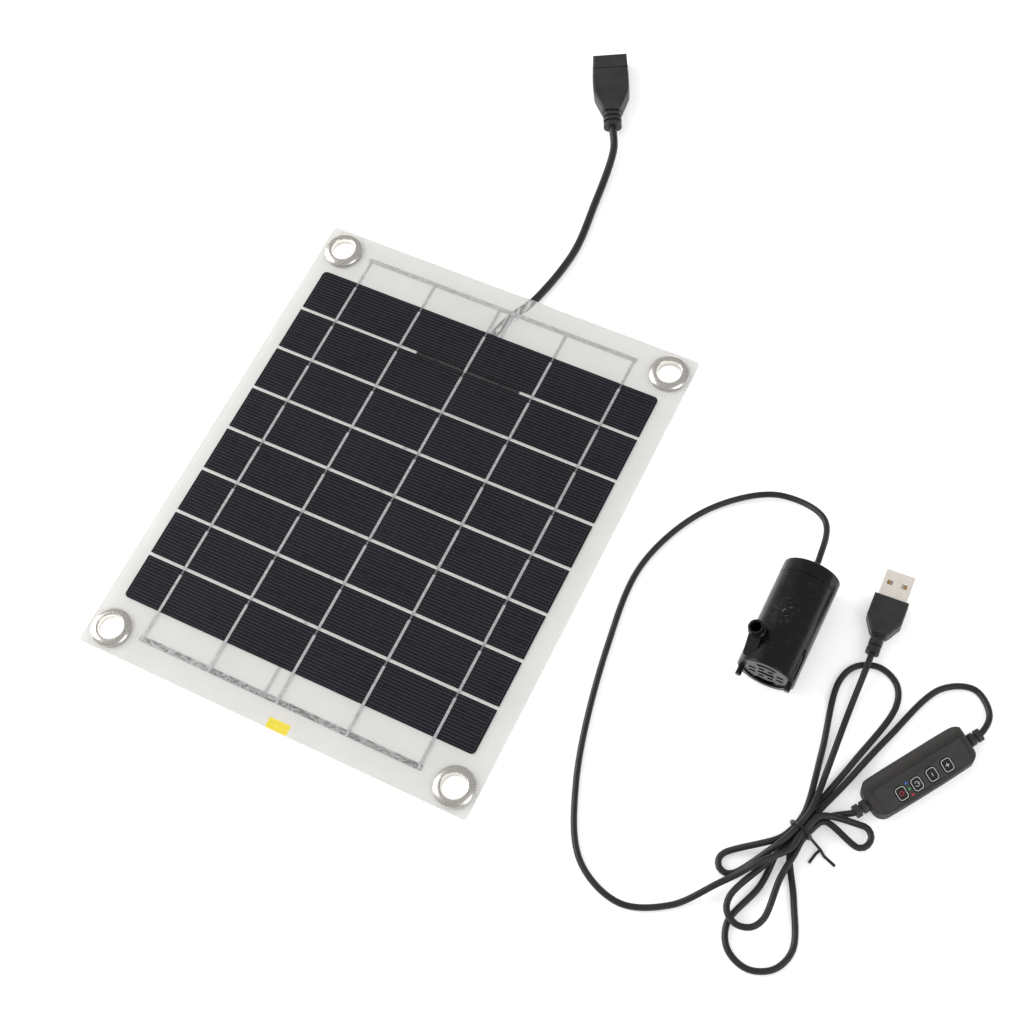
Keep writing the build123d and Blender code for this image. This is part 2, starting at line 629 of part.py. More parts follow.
def controller_relief(end):
    """One moulded strain relief, from inside the shell wall out along the cable."""
    inside = CONTROLLER_WALL + SLIP_CLEARANCE
    relief = Pos(0, -RELIEF_LENGTH, 0) * relief_rings(RELIEF_LENGTH + 1.6, *RELIEF_SIZE, 2, 1.1)
    flange = Rot(X=-90) * extrude(RectangleRounded(*RELIEF_FLANGE, 1.6), 1.2)
    cable_bore = Rot(X=90) * Cylinder(CABLE_RADIUS + 0.02, 40)
    shape = relief + Pos(0, inside, 0) * flange - cable_bore
    return Rot(Z=180 if end > 0 else 0) * Rot(Z=-90) * shape


def relief_at(end):
    """A strain relief in its place at one end: -1 is the end nearest the tie, +1 the far end."""
    return Pos(end * CONTROLLER_LENGTH / 2, 0, LEAD_HEIGHT) * controller_relief(end)


def relief_window(end):
    """The opening for a strain relief in one end of the controller."""
    width, height = [s + 2 * RUNNING_CLEARANCE for s in RELIEF_SIZE]
    opening = Plane.YZ * RectangleRounded(width, height, 0.45 * height)
    return Pos(end * CONTROLLER_LENGTH / 2, 0, LEAD_HEIGHT) * extrude(opening, 8, both=True)


def tact_switch(x):
    """A small switch on the board under each button, just below the button's travel."""
    y = BUTTON_OFFSET
    floor = BOARD_LEVEL + BOARD_SIZE[2]
    top = top_height(y) - CONTROLLER_WALL - BUTTON_FLANGE[2] - BUTTON_TRAVEL - 0.4
    body = block((x - 1.5, x + 1.5), (y - 1.4, y + 1.4), (floor, top - 0.5))
    return body + Pos(x, y, 0) * rod(0.7, top - 0.5, top)


shell_form = controller_form(0) - controller_form(CONTROLLER_WALL)
relief_windows = [relief_window(end) for end in (-1, 1)]
lower_half = block((-40, 40), (-20, 20), (-1, CONTROLLER_SPLIT))
top_shell = shell_form - lower_half - [button_window(x) for x in BUTTON_XS] - relief_windows
top_shell -= [led_window(x, y) for x, y in LED_PLACES]
bottom_shell = (shell_form & lower_half) - relief_windows
bottom_shell += [Pos(x, 0, 0) * rod(1.2, 1.0, BOARD_LEVEL) for x in (-15, 15)]
board_top = BOARD_LEVEL + BOARD_SIZE[2]
controller_board = rounded_plate(*BOARD_SIZE[:2], 1.0, BOARD_LEVEL, board_top)
controller_board -= lead_hole(CABLE_RADIUS + 0.1)

nodes["controller_top_shell"] = controller_place * top_shell
nodes["controller_bottom_shell"] = controller_place * bottom_shell
nodes["controller_board"] = controller_place * controller_board
nodes["timer_chip"] = controller_place * block((-12, -7), (1.8, 5.4), (board_top, board_top + 1.4))
nodes["tact_switches"] = controller_place * group([tact_switch(x) for x in BUTTON_XS])
nodes["indicator_lights"] = controller_place * group([led_pipe(x, y) for x, y in LED_PLACES])
nodes["controller_relief_in"] = controller_place * relief_at(-1)
nodes["controller_relief_out"] = controller_place * relief_at(1)
for name, x in zip(BUTTON_NAMES, BUTTON_XS):
    nodes[name] = controller_place * button(x)

# ---------------------------------------------------------------- submersible pump

# In the pump's own axes Z runs from the intake face (0) to the cable end, +Y is up and +X is the outlet's side.
pump_middle = (PUMP_AXIS_X, PUMP_FRONT_Y, GROUND + PUMP_RADIUS)
pump_plane = Plane(origin=pump_middle, x_dir=(-1, 0, 0), z_dir=(0, 1, 0))
pump_place = pump_plane.location
COVER_THICKNESS = 1.6
VOLUTE_PLATE = (7.4, 8.4)
IMPELLER = (8.9, 14.2)
BULKHEAD = (15.0, 16.4)
CAN_RADIUS = 5.2
CAN_BORE = 4.7
CAN_END = 35.0
CAP_START = 42.0
SEAM_CHAMFER = 0.3
SHAFT_RADIUS = 1.0
OUTLET_Z = 11.8
OUTLET_OFFSET = 6.2
OUTLET_TOP = 15.6
OUTLET_REACH = 2.6
OUTLET_SHOULDER_RADIUS = 3.5
OUTLET_TAPER = 0.4
OUTLET_TILT = 12.0
PEG_ANGLE = 11.0
LATCH_ANGLE = 156.0
LATCH_WIDTH = 3.0
LATCH_END = 14.2
bore = PUMP_RADIUS - PUMP_WALL


outlet_place = Pos(OUTLET_OFFSET, 0, OUTLET_Z) * Rot(Z=-OUTLET_TILT) * Rot(X=-90)


def outlet(radius, low, high):
    """A rod along the outlet's axis, which leaves the chamber tangentially and leans outwards."""
    return outlet_place * rod(radius, low, high)


def outlet_outside():
    """The outlet's shoulder, a short taper above it, and the straight nozzle a hose is pressed on."""
    foot = OUTLET_TOP - OUTLET_REACH - OUTLET_TAPER
    shoulder = outlet(OUTLET_SHOULDER_RADIUS, 4.0, foot)
    taper = Pos(Z=foot + OUTLET_TAPER / 2) * Cone(OUTLET_SHOULDER_RADIUS, OUTLET_RADIUS, OUTLET_TAPER)
    return shoulder + outlet_place * taper + outlet(OUTLET_RADIUS, 4.0, OUTLET_TOP)


def pump_housing():
    """The tubular housing: an outlet nozzle on a faired shoulder, and a slot for the cover's clip."""
    solid_body = rod(PUMP_RADIUS, COVER_THICKNESS, CAP_START)
    solid_body = chamfer(solid_body.edges().group_by(Axis.Z)[-1], SEAM_CHAMFER)
    inside = rod(bore, 0, CAP_START + 1)
    slot = clip_bar(LATCH_WIDTH, PUMP_RADIUS + 2, LATCH_END)
    outlet_bore = outlet(OUTLET_BORE_RADIUS, 2.0, 20)
    return solid_body + outlet_ramp() + outlet_outside() - inside - outlet_bore - slot


def outlet_ramp():
    """The web that climbs from the front rim of the housing to the nozzle's shoulder."""
    front, back = COVER_THICKNESS + 0.8, OUTLET_Z
    foot, top = 9.3, OUTLET_TOP - OUTLET_REACH - OUTLET_TAPER - 0.2
    lean = math.radians(OUTLET_TILT)
    side_plane = Plane(
        origin=(OUTLET_OFFSET, 0, 0), x_dir=(0, 0, 1), z_dir=(-math.cos(lean), math.sin(lean), 0)
    )
    outline = [(front, 4), (front, foot), (back - 2.4, top), (back, top), (back, 4), (front, 4)]
    return extrude(side_plane * make_face(Polyline(*outline)), OUTLET_SHOULDER_RADIUS - 0.9, both=True)


def clip_bar(width, radius, end):
    """A bar along the pump's side, under the latch, from the cover back to a stated distance."""
    low = bore + 0.15
    return Rot(Z=LATCH_ANGLE) * block((low, radius), (-width / 2, width / 2), (0, end))


def grille_openings():
    """Intake openings: a long middle slot, four short slots and an arc above and below."""
    slots = [Box(6.6, 2.0, 10)]
    slots += [Pos(x, y, 0) * Box(2.8, 1.6, 10) for x in (-5.8, 5.8) for y in (-1.7, 1.7)]
    slots += [Pos(x, y, 0) * Box(2.2, 1.6, 10) for x in (-1.9, 1.9) for y in (-3.3, 3.3)]
    arc = ring(9.0, 6.3, -5, 5)
    wedge = extrude(make_face(Polyline((0, 0), (9, 14), (-9, 14), (0, 0))), 5, both=True)
    return slots + [arc & wedge, arc & (Rot(Z=180) * wedge)]


def intake_cover():
    """The front cover: a grille disc with a rim, two pegs and a skirt that slides into the housing."""
    disc = rod(PUMP_RADIUS, 0, COVER_THICKNESS)
    disc = fillet(disc.edges().group_by(Axis.Z)[0], 0.7)
    recess = rod(9.6, -1, 0.6)
    skirt = ring(bore - SLIP_CLEARANCE, bore - 1.3, COVER_THICKNESS, VOLUTE_PLATE[0] - 0.2)
    pegs = [Rot(Z=a - PEG_ANGLE) * Pos(10.4, 0, 0) * rod(1.2, -3.4, 0.6) for a in (0, 180)]
    clip = clip_bar(LATCH_WIDTH - 2 * SLIP_CLEARANCE, PUMP_RADIUS, LATCH_END - 0.4)
    clip &= rod(PUMP_RADIUS - 0.3, 1, 20)
    hook = clip_bar(LATCH_WIDTH - 1.0, PUMP_RADIUS + 0.3, LATCH_END - 0.4) - rod(20, -1, LATCH_END - 1.8)
    return disc - recess - grille_openings() + skirt + pegs + clip + hook


def volute_plate():
    """The plate behind the cover: a central eye with a three-armed spider that holds the shaft's front end."""
    low, high = VOLUTE_PLATE
    plate = ring(bore - 0.02, 4.0, low, high)
    arms = [Rot(Z=120 * i + 30) * block((0, 4.2), (-0.5, 0.5), (low, high)) for i in range(3)]
    return plate + rod(1.9, low, high) + arms - rod(SHAFT_RADIUS, low + 0.4, high + 1)


def impeller():
    """A six-vaned open impeller on a hub that is pressed on the magnet's nose."""
    low, high = IMPELLER
    hub = rod(2.6, low, high)
    back = rod(8.0, high - 1.0, high)
    vane = block((1.5, 8.0), (-0.45, 0.45), (low, high - 0.9))
    vanes = [Rot(Z=60 * i) * Pos(0.6, 1.2, 0) * Rot(Z=-18) * vane for i in range(6)]
    vanes = [v & rod(8.0, low, high) for v in vanes]
    return hub + back + vanes - rod(SHAFT_RADIUS + RUNNING_CLEARANCE, low - 1, high + 1)


def rotor_magnet():
    """The ring magnet that turns inside the can, with a nose that reaches the impeller."""
    return rod(2.6, IMPELLER[1], 18.0) + rod(4.3, 18.0, 33.5) - rod(SHAFT_RADIUS + RUNNING_CLEARANCE, 0, 40)


def isolation_can():
    """The bulkhead and thin cup that keep water away from the coils; the shaft stands in its blind end."""
    low, high = BULKHEAD
    wall = rod(bore - 0.02, low, high) + rod(CAN_RADIUS, high, CAN_END)
    seal_groove = ring(bore + 1, bore - 1.0, low + 0.2, low + 1.2)
    return wall - rod(CAN_BORE, low - 1, CAN_END - 1.4) - rod(SHAFT_RADIUS, 0, CAN_END - 0.4) - seal_groove


def stator_core():
    """Four salient poles on a laminated yoke round the can."""
    yoke = ring(bore - 0.1, bore - 1.6, 19.0, 32.0)
    pole = block((CAN_RADIUS + 0.3, bore - 1.0), (-1.3, 1.3), (19.0, 32.0))
    return yoke + [Rot(Z=90 * i + 45) * pole for i in range(4)] - rod(CAN_RADIUS + 0.1, 0, 40)


def stator_coils():
    """One copper winding round each pole."""
    outer = block((CAN_RADIUS + 0.9, bore - 2.0), (-2.1, 2.1), (17.8, 33.2))
    coil = outer - block((0, bore), (-1.35, 1.35), (18.95, 32.05))
    return [Rot(Z=90 * i + 45) * coil for i in range(4)]


def rear_cap():
    """The rear cap with a soft edge and a central cable hole."""
    cap = rod(PUMP_RADIUS, CAP_START, PUMP_LENGTH)
    cap = fillet(cap.edges().group_by(Axis.Z)[-1], 0.8)
    cap = chamfer(cap.edges().group_by(Axis.Z)[0], SEAM_CHAMFER)
    return cap - rod(CABLE_RADIUS + 0.9, CAP_START - 1, PUMP_LENGTH + 1)


pump_nodes = {
    "pump_housing": pump_housing(),
    "intake_cover": intake_cover(),
    "volute_plate": volute_plate(),
    "impeller": impeller(),
    "rotor_magnet": rotor_magnet(),
    "rotor_shaft": rod(SHAFT_RADIUS, VOLUTE_PLATE[0] + 0.4, CAN_END - 0.4),
    "isolation_can": isolation_can(),
    "bulkhead_seal": ring(bore - 0.02, bore - 1.0, BULKHEAD[0] + 0.25, BULKHEAD[0] + 1.15),
    "stator_core": stator_core(),
    "stator_coils": group(stator_coils()),
    "driver_board": ring(bore - 0.4, CABLE_RADIUS + 0.6, 35.6, 36.6),
    "pump_potting": ring(bore - 0.02, CABLE_RADIUS + 0.1, 37.0, CAP_START),
    "pump_rear_cap": rear_cap(),
    "pump_cable_gland": ring(CABLE_RADIUS + 0.88, CABLE_RADIUS + 0.02, CAP_START, PUMP_LENGTH + 1.6),
}
for name, shape in pump_nodes.items():
    nodes[name] = pump_place * shape

# ---------------------------------------------------------------- tied cables

# Seven strands pass through the tie: one in the middle and six round it. Each place is (sideways, height)
# from the middle strand, in steps of one cable's width.
STRAND_PITCH = 2 * CABLE_RADIUS + 0.2
ROW_RISE = math.sin(math.radians(60))
STRAND_PLACES = {
    "middle": (0.0, 0.0),
    "left": (-1.0, 0.0),
    "right": (1.0, 0.0),
    "low_left": (-0.5, -ROW_RISE),
    "low_right": (0.5, -ROW_RISE),
    "high_left": (-0.5, ROW_RISE),
    "high_right": (0.5, ROW_RISE),
}
BUNDLE_RADIUS = STRAND_PITCH + CABLE_RADIUS
TIE_RADIUS = BUNDLE_RADIUS + TIE_WIRE_RADIUS + 0.1
TIE_Z = GROUND + TIE_RADIUS + TIE_WIRE_RADIUS
TIE_ENDS = ((-34.0, 8.0), (-118.0, 6.5))
TIE_END_TURN = 10.0
KNOT_REACH = 5.0
TIE_REACHES = (3.0, 8.5)
TIE_SPREADS = (1.0, 1.5)
FLOOR_LEVEL = GROUND + CABLE_RADIUS + 0.05
SECOND_LEVEL = FLOOR_LEVEL + STRAND_PITCH + 0.8
tie_along = unit(TIE_HEADING)
tie_across = unit(TIE_HEADING - 90)


def through_tie(place, downwards):
    """The way points of one strand's pass through the tie, spreading a little on both sides of it."""
    sideways, height = STRAND_PLACES[place]
    z = TIE_Z + height * STRAND_PITCH
    points = []
    for side in (1, -1):
        for reach, spread in sorted(zip(TIE_REACHES, TIE_SPREADS), reverse=side > 0):
            middle = np.array(TIE_CENTRE) + sideways * STRAND_PITCH * spread * tie_across
            points.append((*(middle + side * reach * tie_along), z))
    return points if downwards else points[::-1]


def teardrop(heading, length, width, level, turn, shoulder=0.26):
    """A loop that leaves the tie and comes back round a half circle. turn is 1 to go round clockwise, or -1."""
    along = unit(heading)
    left = unit(heading + 90) * turn
    radius = width / 2
    tip_centre = length - radius
    bends = np.radians([0, 45, 90, 135, 180])
    points = [(tip_centre + radius * math.sin(a), radius * math.cos(a)) for a in bends]
    if shoulder:
        reach = 0.45 * length
        points = [(reach, width * shoulder), *points, (reach, -width * shoulder)]
    return [(*(np.array(TIE_CENTRE) + along * reach + left * spread), level) for reach, spread in points]


def controller_end(end, beyond):
    """A point on the cable beyond one end of the controller."""
    reach = end * (CONTROLLER_LENGTH / 2 + beyond)
    return (*(np.array(CONTROLLER_CENTRE) + reach * controller_along), GROUND + LEAD_HEIGHT)


plug_back = np.array(PLUG_END)
plug_cable_points = [
    (*(plug_back + 15.0 * plug_along), PLUG_Z),
    (*plug_back, PLUG_Z),
    (*(plug_back - 7.0 * plug_along), PLUG_Z + 0.9),
    (207.0, -7.5, FLOOR_LEVEL + 1.0),
    (208.5, -34.0, FLOOR_LEVEL + 2.5),
    *through_tie("high_left", True),
    *teardrop(228, 34, 8.5, FLOOR_LEVEL, 1, None),
    *through_tie("left", False),
    *teardrop(88, 75, 24, FLOOR_LEVEL, 1),
    *through_tie("low_left", True),
    *teardrop(272, 56, 26, FLOOR_LEVEL, -1),
    *through_tie("low_right", False),
    (218.5, -47.0, FLOOR_LEVEL + 1.0),
    controller_end(-1, RELIEF_LENGTH),
    controller_end(-1, 1.5),
    controller_end(-1, -CABLE_INSIDE),
]
pump_rear = (PUMP_AXIS_X, PUMP_FRONT_Y + PUMP_LENGTH, GROUND + PUMP_RADIUS)
pump_cable_points = [
    controller_end(1, -CABLE_INSIDE),
    controller_end(1, 1.5),
    controller_end(1, RELIEF_LENGTH),
    (256.6, 14.5, FLOOR_LEVEL + 1.0),
    (248.0, 22.5, FLOOR_LEVEL),
    (236.0, 17.5, FLOOR_LEVEL),
    (224.5, -10.0, FLOOR_LEVEL),
    (216.7, -34.0, FLOOR_LEVEL + 1.0),
    *through_tie("middle", True),
    *teardrop(259, 44, 15, SECOND_LEVEL, -1),
    *through_tie("right", False),
    *teardrop(20, 26.5, 9.0, FLOOR_LEVEL + 2.0, -1, None),
    *through_tie("high_right", True),
    (200.5, -76.5, SECOND_LEVEL + 3.8),
    (189.5, -89.5, SECOND_LEVEL),
    (175.0, -105.5, FLOOR_LEVEL),
    (157.0, -113.0, FLOOR_LEVEL),
    (137.0, -105.0, FLOOR_LEVEL),
    (122.0, -78.0, FLOOR_LEVEL),
    (108.5, -20.0, FLOOR_LEVEL),
    (106.5, 20.0, FLOOR_LEVEL),
    (122.5, 54.0, FLOOR_LEVEL),
    (147.0, 69.5, FLOOR_LEVEL + 2.0),
    (167.5, 64.5, FLOOR_LEVEL + 5.5),
    (pump_rear[0], pump_rear[1] + 7.5, pump_rear[2]),
    (pump_rear[0], pump_rear[1] + 1.0, pump_rear[2]),
    (pump_rear[0], pump_rear[1] - 9.0, pump_rear[2]),
]


def twist_tie():
    """A coated wire closed round the bundle, with a twisted knot and two free ends that rest on the ground."""
    loop_plane = Plane(origin=(*TIE_CENTRE, TIE_Z), z_dir=(*tie_along, 0))
    result = loop_plane.location * Torus(TIE_RADIUS, TIE_WIRE_RADIUS)
    wire_radius = TIE_WIRE_RADIUS - 0.02
    level = GROUND + TIE_WIRE_RADIUS + 0.1
    start = np.array([*(np.array(TIE_CENTRE) + tie_across * TIE_RADIUS), TIE_Z])
    knot = np.array([*(np.array(TIE_CENTRE) + tie_across * (TIE_RADIUS + KNOT_REACH)), level + 1.2])
    result += wire_stretch(start, knot, wire_radius) + Pos(*knot) * Sphere(wire_radius)
    for heading, reach in TIE_ENDS:
        bend = np.array([*(knot[:2] + unit(heading) * reach / 3), level])
        tip = np.array([*(knot[:2] + unit(heading + TIE_END_TURN) * reach), level])
        result += wire_stretch(knot, bend, wire_radius) + Pos(*bend) * Sphere(wire_radius)
        result += wire_stretch(bend, tip, wire_radius)
    return result


def wire_stretch(start, end, radius):
    """A straight stretch of wire between two points."""
    span = end - start
    return extrude(Plane(origin=tuple(start), z_dir=tuple(span)) * Circle(radius), np.linalg.norm(span))


nodes["plug_cable"] = round_cable(smooth_path(plug_cable_points), CABLE_RADIUS)
nodes["pump_cable"] = round_cable(smooth_path(pump_cable_points), CABLE_RADIUS)
nodes["plug_overmold"] = plug_place * plug_overmold() - nodes["plug_cable"]
nodes["controller_relief_in"] -= nodes["plug_cable"]
nodes["controller_relief_out"] -= nodes["pump_cable"]
nodes["pump_cable_gland"] -= nodes["pump_cable"]
nodes["twist_tie"] = twist_tie()

# ---------------------------------------------------------------- write the parts

os.makedirs("parts", exist_ok=True)
for name, shape in nodes.items():
    export_step(shape, os.path.join("parts", name + ".step"))
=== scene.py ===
import json
import math

import bmesh
import bpy
import numpy as np
from mathutils import Matrix, Vector


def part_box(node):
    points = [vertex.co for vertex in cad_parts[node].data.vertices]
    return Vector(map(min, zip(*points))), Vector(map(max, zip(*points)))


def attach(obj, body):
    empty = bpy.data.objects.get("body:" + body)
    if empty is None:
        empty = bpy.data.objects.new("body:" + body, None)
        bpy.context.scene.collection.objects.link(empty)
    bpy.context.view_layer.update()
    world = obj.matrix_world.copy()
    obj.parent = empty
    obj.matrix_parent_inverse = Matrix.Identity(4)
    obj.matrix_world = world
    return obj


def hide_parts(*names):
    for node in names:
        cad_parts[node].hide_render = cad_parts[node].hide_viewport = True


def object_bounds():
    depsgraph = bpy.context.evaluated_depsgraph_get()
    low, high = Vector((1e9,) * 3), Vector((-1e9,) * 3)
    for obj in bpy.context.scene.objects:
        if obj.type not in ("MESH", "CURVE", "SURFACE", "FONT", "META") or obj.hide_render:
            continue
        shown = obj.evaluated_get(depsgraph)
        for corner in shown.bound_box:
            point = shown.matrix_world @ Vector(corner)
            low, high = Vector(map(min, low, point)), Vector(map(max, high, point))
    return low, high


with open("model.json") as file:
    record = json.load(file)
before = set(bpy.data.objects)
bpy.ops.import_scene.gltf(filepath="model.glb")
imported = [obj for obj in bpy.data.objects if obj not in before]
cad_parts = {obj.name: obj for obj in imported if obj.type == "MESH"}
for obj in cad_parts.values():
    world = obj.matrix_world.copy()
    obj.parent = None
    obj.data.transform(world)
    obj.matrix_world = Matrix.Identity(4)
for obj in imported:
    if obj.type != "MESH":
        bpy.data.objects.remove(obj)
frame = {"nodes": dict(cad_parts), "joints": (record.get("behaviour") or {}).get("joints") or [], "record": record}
cad_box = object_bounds()

# Looks for a solar fountain pump: frosted solar panel, output cable, and a pump set of plug, tied cable,
# in-line controller and submersible pump. Lengths are in metres, and MM turns millimetres into metres.
MM = 0.001

# The cells: their rows, the busbars, and the fingers and ticks printed on them.
CELL_PITCH = 22.0 * MM
CELL_HEIGHT = 20.5 * MM
BUSBAR_PITCH = 32.7 * MM
FINGER_PITCH = 1.45 * MM
TICK_PITCH = (10.9 * MM, 2.9 * MM)

# The panel's clear front: its corner radius, the rounding of its rims, and its gap to the back sheet.
SHEET_BACK_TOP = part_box("back_sheet")[1][2]
SHEET_CORNER = 1.5 * MM
RIM_SOFTNESS = 0.25 * MM
FRONT_GAP = 0.005 * MM

# The eyelets: the radius of the opening, of the flange, and of the hole left for them in the clear front.
EYELET_BORE = 5.3 * MM
EYELET_EDGE = 8.7 * MM
EYELET_HOLE = 5.8 * MM

# The controller's sloping face: its middle from the power button, the smooth area round the buttons (middle and
# half size from there), and the two gaps between the three light pipes. All are along the controller, then across.
SLOPE_FROM_POWER = (10.9 * MM, 4.0 * MM)
SMOOTH_MIDDLE = (0.6 * MM, -3.7 * MM)
SMOOTH_HALF = (18.6 * MM, 3.3 * MM)
PIPE_GAPS = (-5.3 * MM, -2.9 * MM)

# The room's brightness, and how bright reflections see it.
ROOM_LIGHT = 0.78
ROOM_REFLECTED = 0.30

CAMERA_PLACE = (0.2490, -0.2376, 0.6615)
CAMERA_AZIMUTH = 38.51
CAMERA_ELEVATION = 63.98
CAMERA_ROLL = 13.2
CAMERA_LENS = 61.76

# ---------------------------------------------------------------- node graph helper


class Graph:
    """Builds one material's node tree. Values given to its calls are numbers, colours or sockets."""

    def __init__(self, name):
        self.material = bpy.data.materials.new(name)
        self.material.use_nodes = True
        self.tree = self.material.node_tree
        self.tree.nodes.clear()
        self.output = self.tree.nodes.new("ShaderNodeOutputMaterial")
        self.place = self.node("ShaderNodeTexCoord").outputs["Object"]

    def node(self, kind, **settings):
        made = self.tree.nodes.new(kind)
        for key, value in settings.items():
            setattr(made, key, value)
        return made

    def feed(self, socket, value):
        if isinstance(value, bpy.types.NodeSocket):
            self.tree.links.new(value, socket)
        elif value is not None:
            if hasattr(socket.default_value, "__len__") and not hasattr(value, "__len__"):
                value = (value,) * 3
            if socket.type == "RGBA" and len(value) == 3:
                value = (*value, 1.0)
            socket.default_value = value

    def calc(self, operation, a, b=None):
        made = self.node("ShaderNodeMath", operation=operation)
        for socket, value in zip(made.inputs, (a, b)):
            self.feed(socket, value)
        return made.outputs[0]

    def axes(self):
        split = self.node("ShaderNodeSeparateXYZ")
        self.feed(split.inputs[0], self.place)
        return split.outputs

    def along(self, direction, origin):
        """Distance of each point from origin along a direction."""
        shifted = self.node("ShaderNodeVectorMath", operation="SUBTRACT")
        self.feed(shifted.inputs[0], self.place)
        self.feed(shifted.inputs[1], tuple(origin))
        made = self.node("ShaderNodeVectorMath", operation="DOT_PRODUCT")
        self.feed(made.inputs[0], shifted.outputs[0])
        self.feed(made.inputs[1], tuple(direction))
        return made.outputs["Value"]

    def scaled(self, size, stretch=(1, 1, 1)):
        """Places measured in units of size, lengthened by stretch along each axis."""
        mapping = self.node("ShaderNodeMapping")
        self.feed(mapping.inputs["Vector"], self.place)
        self.feed(mapping.inputs["Scale"], tuple(1 / (size * s) for s in stretch))
        return mapping.outputs[0]

    def noise(self, size, detail=3.0, roughness=0.55, stretch=(1, 1, 1), distortion=0.0):
        """Noise whose features are about size metres across."""
        made = self.node("ShaderNodeTexNoise")
        self.feed(made.inputs["Vector"], self.scaled(size, stretch))
        self.feed(made.inputs["Scale"], 1.0)
        self.feed(made.inputs["Detail"], detail)
        self.feed(made.inputs["Roughness"], roughness)
        self.feed(made.inputs["Distortion"], distortion)
        return made.outputs["Fac"]

    def scattered(self, size):
        """Distance to the nearest of many scattered points about size metres apart, in units of size."""
        made = self.node("ShaderNodeTexVoronoi")
        self.feed(made.inputs["Vector"], self.scaled(size))
        self.feed(made.inputs["Scale"], 1.0)
        return made.outputs["Distance"]

    def range(self, value, low, high, start=0.0, end=1.0, smooth=False):
        made = self.node("ShaderNodeMapRange", interpolation_type="SMOOTHSTEP" if smooth else "LINEAR")
        for key, given in (
            ("Value", value), ("From Min", low), ("From Max", high), ("To Min", start), ("To Max", end)
        ):
            self.feed(made.inputs[key], given)
        return made.outputs["Result"]

    def mix(self, share, a, b):
        """Colour a where share is 0, and colour b where it is 1."""
        made = self.node("ShaderNodeMix", data_type="RGBA")
        self.feed(made.inputs["Factor"], share)
        self.feed(made.inputs["A"], a)
        self.feed(made.inputs["B"], b)
        return made.outputs["Result"]

    def near(self, value, middle, half, soft):
        """1 within half of middle, falling smoothly to 0 over soft."""
        away = self.calc("ABSOLUTE", self.calc("SUBTRACT", value, middle))
        return self.range(away, half, half + soft, 1.0, 0.0, smooth=True)

    def stripe(self, value, pitch, offset, half, soft):
        """Stripes at every pitch, 1 in their middles."""
        turned = self.calc("FLOORED_MODULO", self.calc("SUBTRACT", value, offset - pitch / 2), pitch)
        return self.near(turned, pitch / 2, half, soft)

    def times(self, a, b):
        return self.calc("MULTIPLY", a, b)

    def bump(self, height, depth):
        made = self.node("ShaderNodeBump")
        self.feed(made.inputs["Strength"], 1.0)
        self.feed(made.inputs["Distance"], depth)
        self.feed(made.inputs["Height"], height)
        return made.outputs["Normal"]

    def surface(self, **inputs):
        """A Principled surface. Input names use underscores for spaces."""
        made = self.node("ShaderNodeBsdfPrincipled")
        for key, value in inputs.items():
            self.feed(made.inputs[key.replace("_", " ")], value)
        return made.outputs[0]

    def see_through(self, colour=(1, 1, 1)):
        made = self.node("ShaderNodeBsdfTransparent")
        self.feed(made.inputs["Color"], colour)
        return made.outputs[0]

    def blend(self, share, a, b):
        """Shader a where share is 0, and shader b where it is 1."""
        made = self.node("ShaderNodeMixShader")
        for socket, value in zip(made.inputs, (share, a, b)):
            self.feed(socket, value)
        return made.outputs[0]

    def done(self, shader):
        self.feed(self.output.inputs["Surface"], shader)
        return self.material


# ---------------------------------------------------------------- materials


def plastic(name, colour, roughness, grain=0.25 * MM, depth=0.02 * MM, vary=0.25, scuffs=0.0):
    """Moulded plastic or rubber: a fine grain, slow changes of tone, and optional light scuffs."""
    g = Graph(name)
    tone = g.range(g.noise(9 * MM, detail=4), 0.3, 0.7, 1 - vary, 1 + vary)
    shaded = g.node("ShaderNodeVectorMath", operation="SCALE")
    g.feed(shaded.inputs[0], colour)
    g.feed(shaded.inputs["Scale"], tone)
    fine = g.noise(grain, detail=2)
    rough = g.range(g.noise(3 * MM, detail=5), 0.3, 0.7, roughness * 0.85, roughness * 1.15)
    base = shaded.outputs[0]
    if scuffs:
        worn = g.range(g.noise(2.2 * MM, detail=6, roughness=0.7, stretch=(1, 0.16, 1)), 0.66, 0.74)
        base = g.mix(g.times(worn, scuffs), base, (0.25, 0.25, 0.24))
    return g.done(g.surface(Base_Color=base, Roughness=rough, Normal=g.bump(fine, depth)))


DULL_METAL = (0.35, 0.34, 0.32)


def metal(
    name, colour, roughness, scratch=0.02 * MM, stretch=(1, 1, 1), tarnish=DULL_METAL, spots=0.15, shine=1.0
):
    """Plated or rolled metal with fine scratches and dull patches."""
    g = Graph(name)
    patches = g.range(g.noise(2.5 * MM, detail=6, roughness=0.65), 0.48, 0.72)
    lines = g.noise(0.5 * MM, detail=4, roughness=0.7, stretch=stretch)
    base = g.mix(g.times(patches, spots), colour, tarnish)
    rough = g.range(lines, 0.3, 0.7, roughness * 0.6, roughness * 1.5)
    normal = g.bump(lines, scratch)
    return g.done(g.surface(Base_Color=base, Metallic=shine, Roughness=rough, Normal=normal))


def clear_sheet():
    """The clear front of the laminate: seen through, with a soft reflection and faint ripples."""
    g = Graph("clear_front")
    ripples = g.bump(g.noise(14 * MM, detail=2), 0.05 * MM)
    fresnel = g.node("ShaderNodeFresnel")
    g.feed(fresnel.inputs["IOR"], 1.46)
    g.feed(fresnel.inputs["Normal"], ripples)
    gloss = g.node("ShaderNodeBsdfGlossy")
    g.feed(gloss.inputs["Color"], (1, 1, 1))
    g.feed(gloss.inputs["Roughness"], g.range(g.noise(6 * MM, detail=5), 0.3, 0.7, 0.05, 0.12))
    g.feed(gloss.inputs["Normal"], ripples)
    through = g.see_through((0.985, 0.985, 0.98))
    return g.done(g.blend(g.times(fresnel.outputs[0], 0.55), through, gloss.outputs[0]))


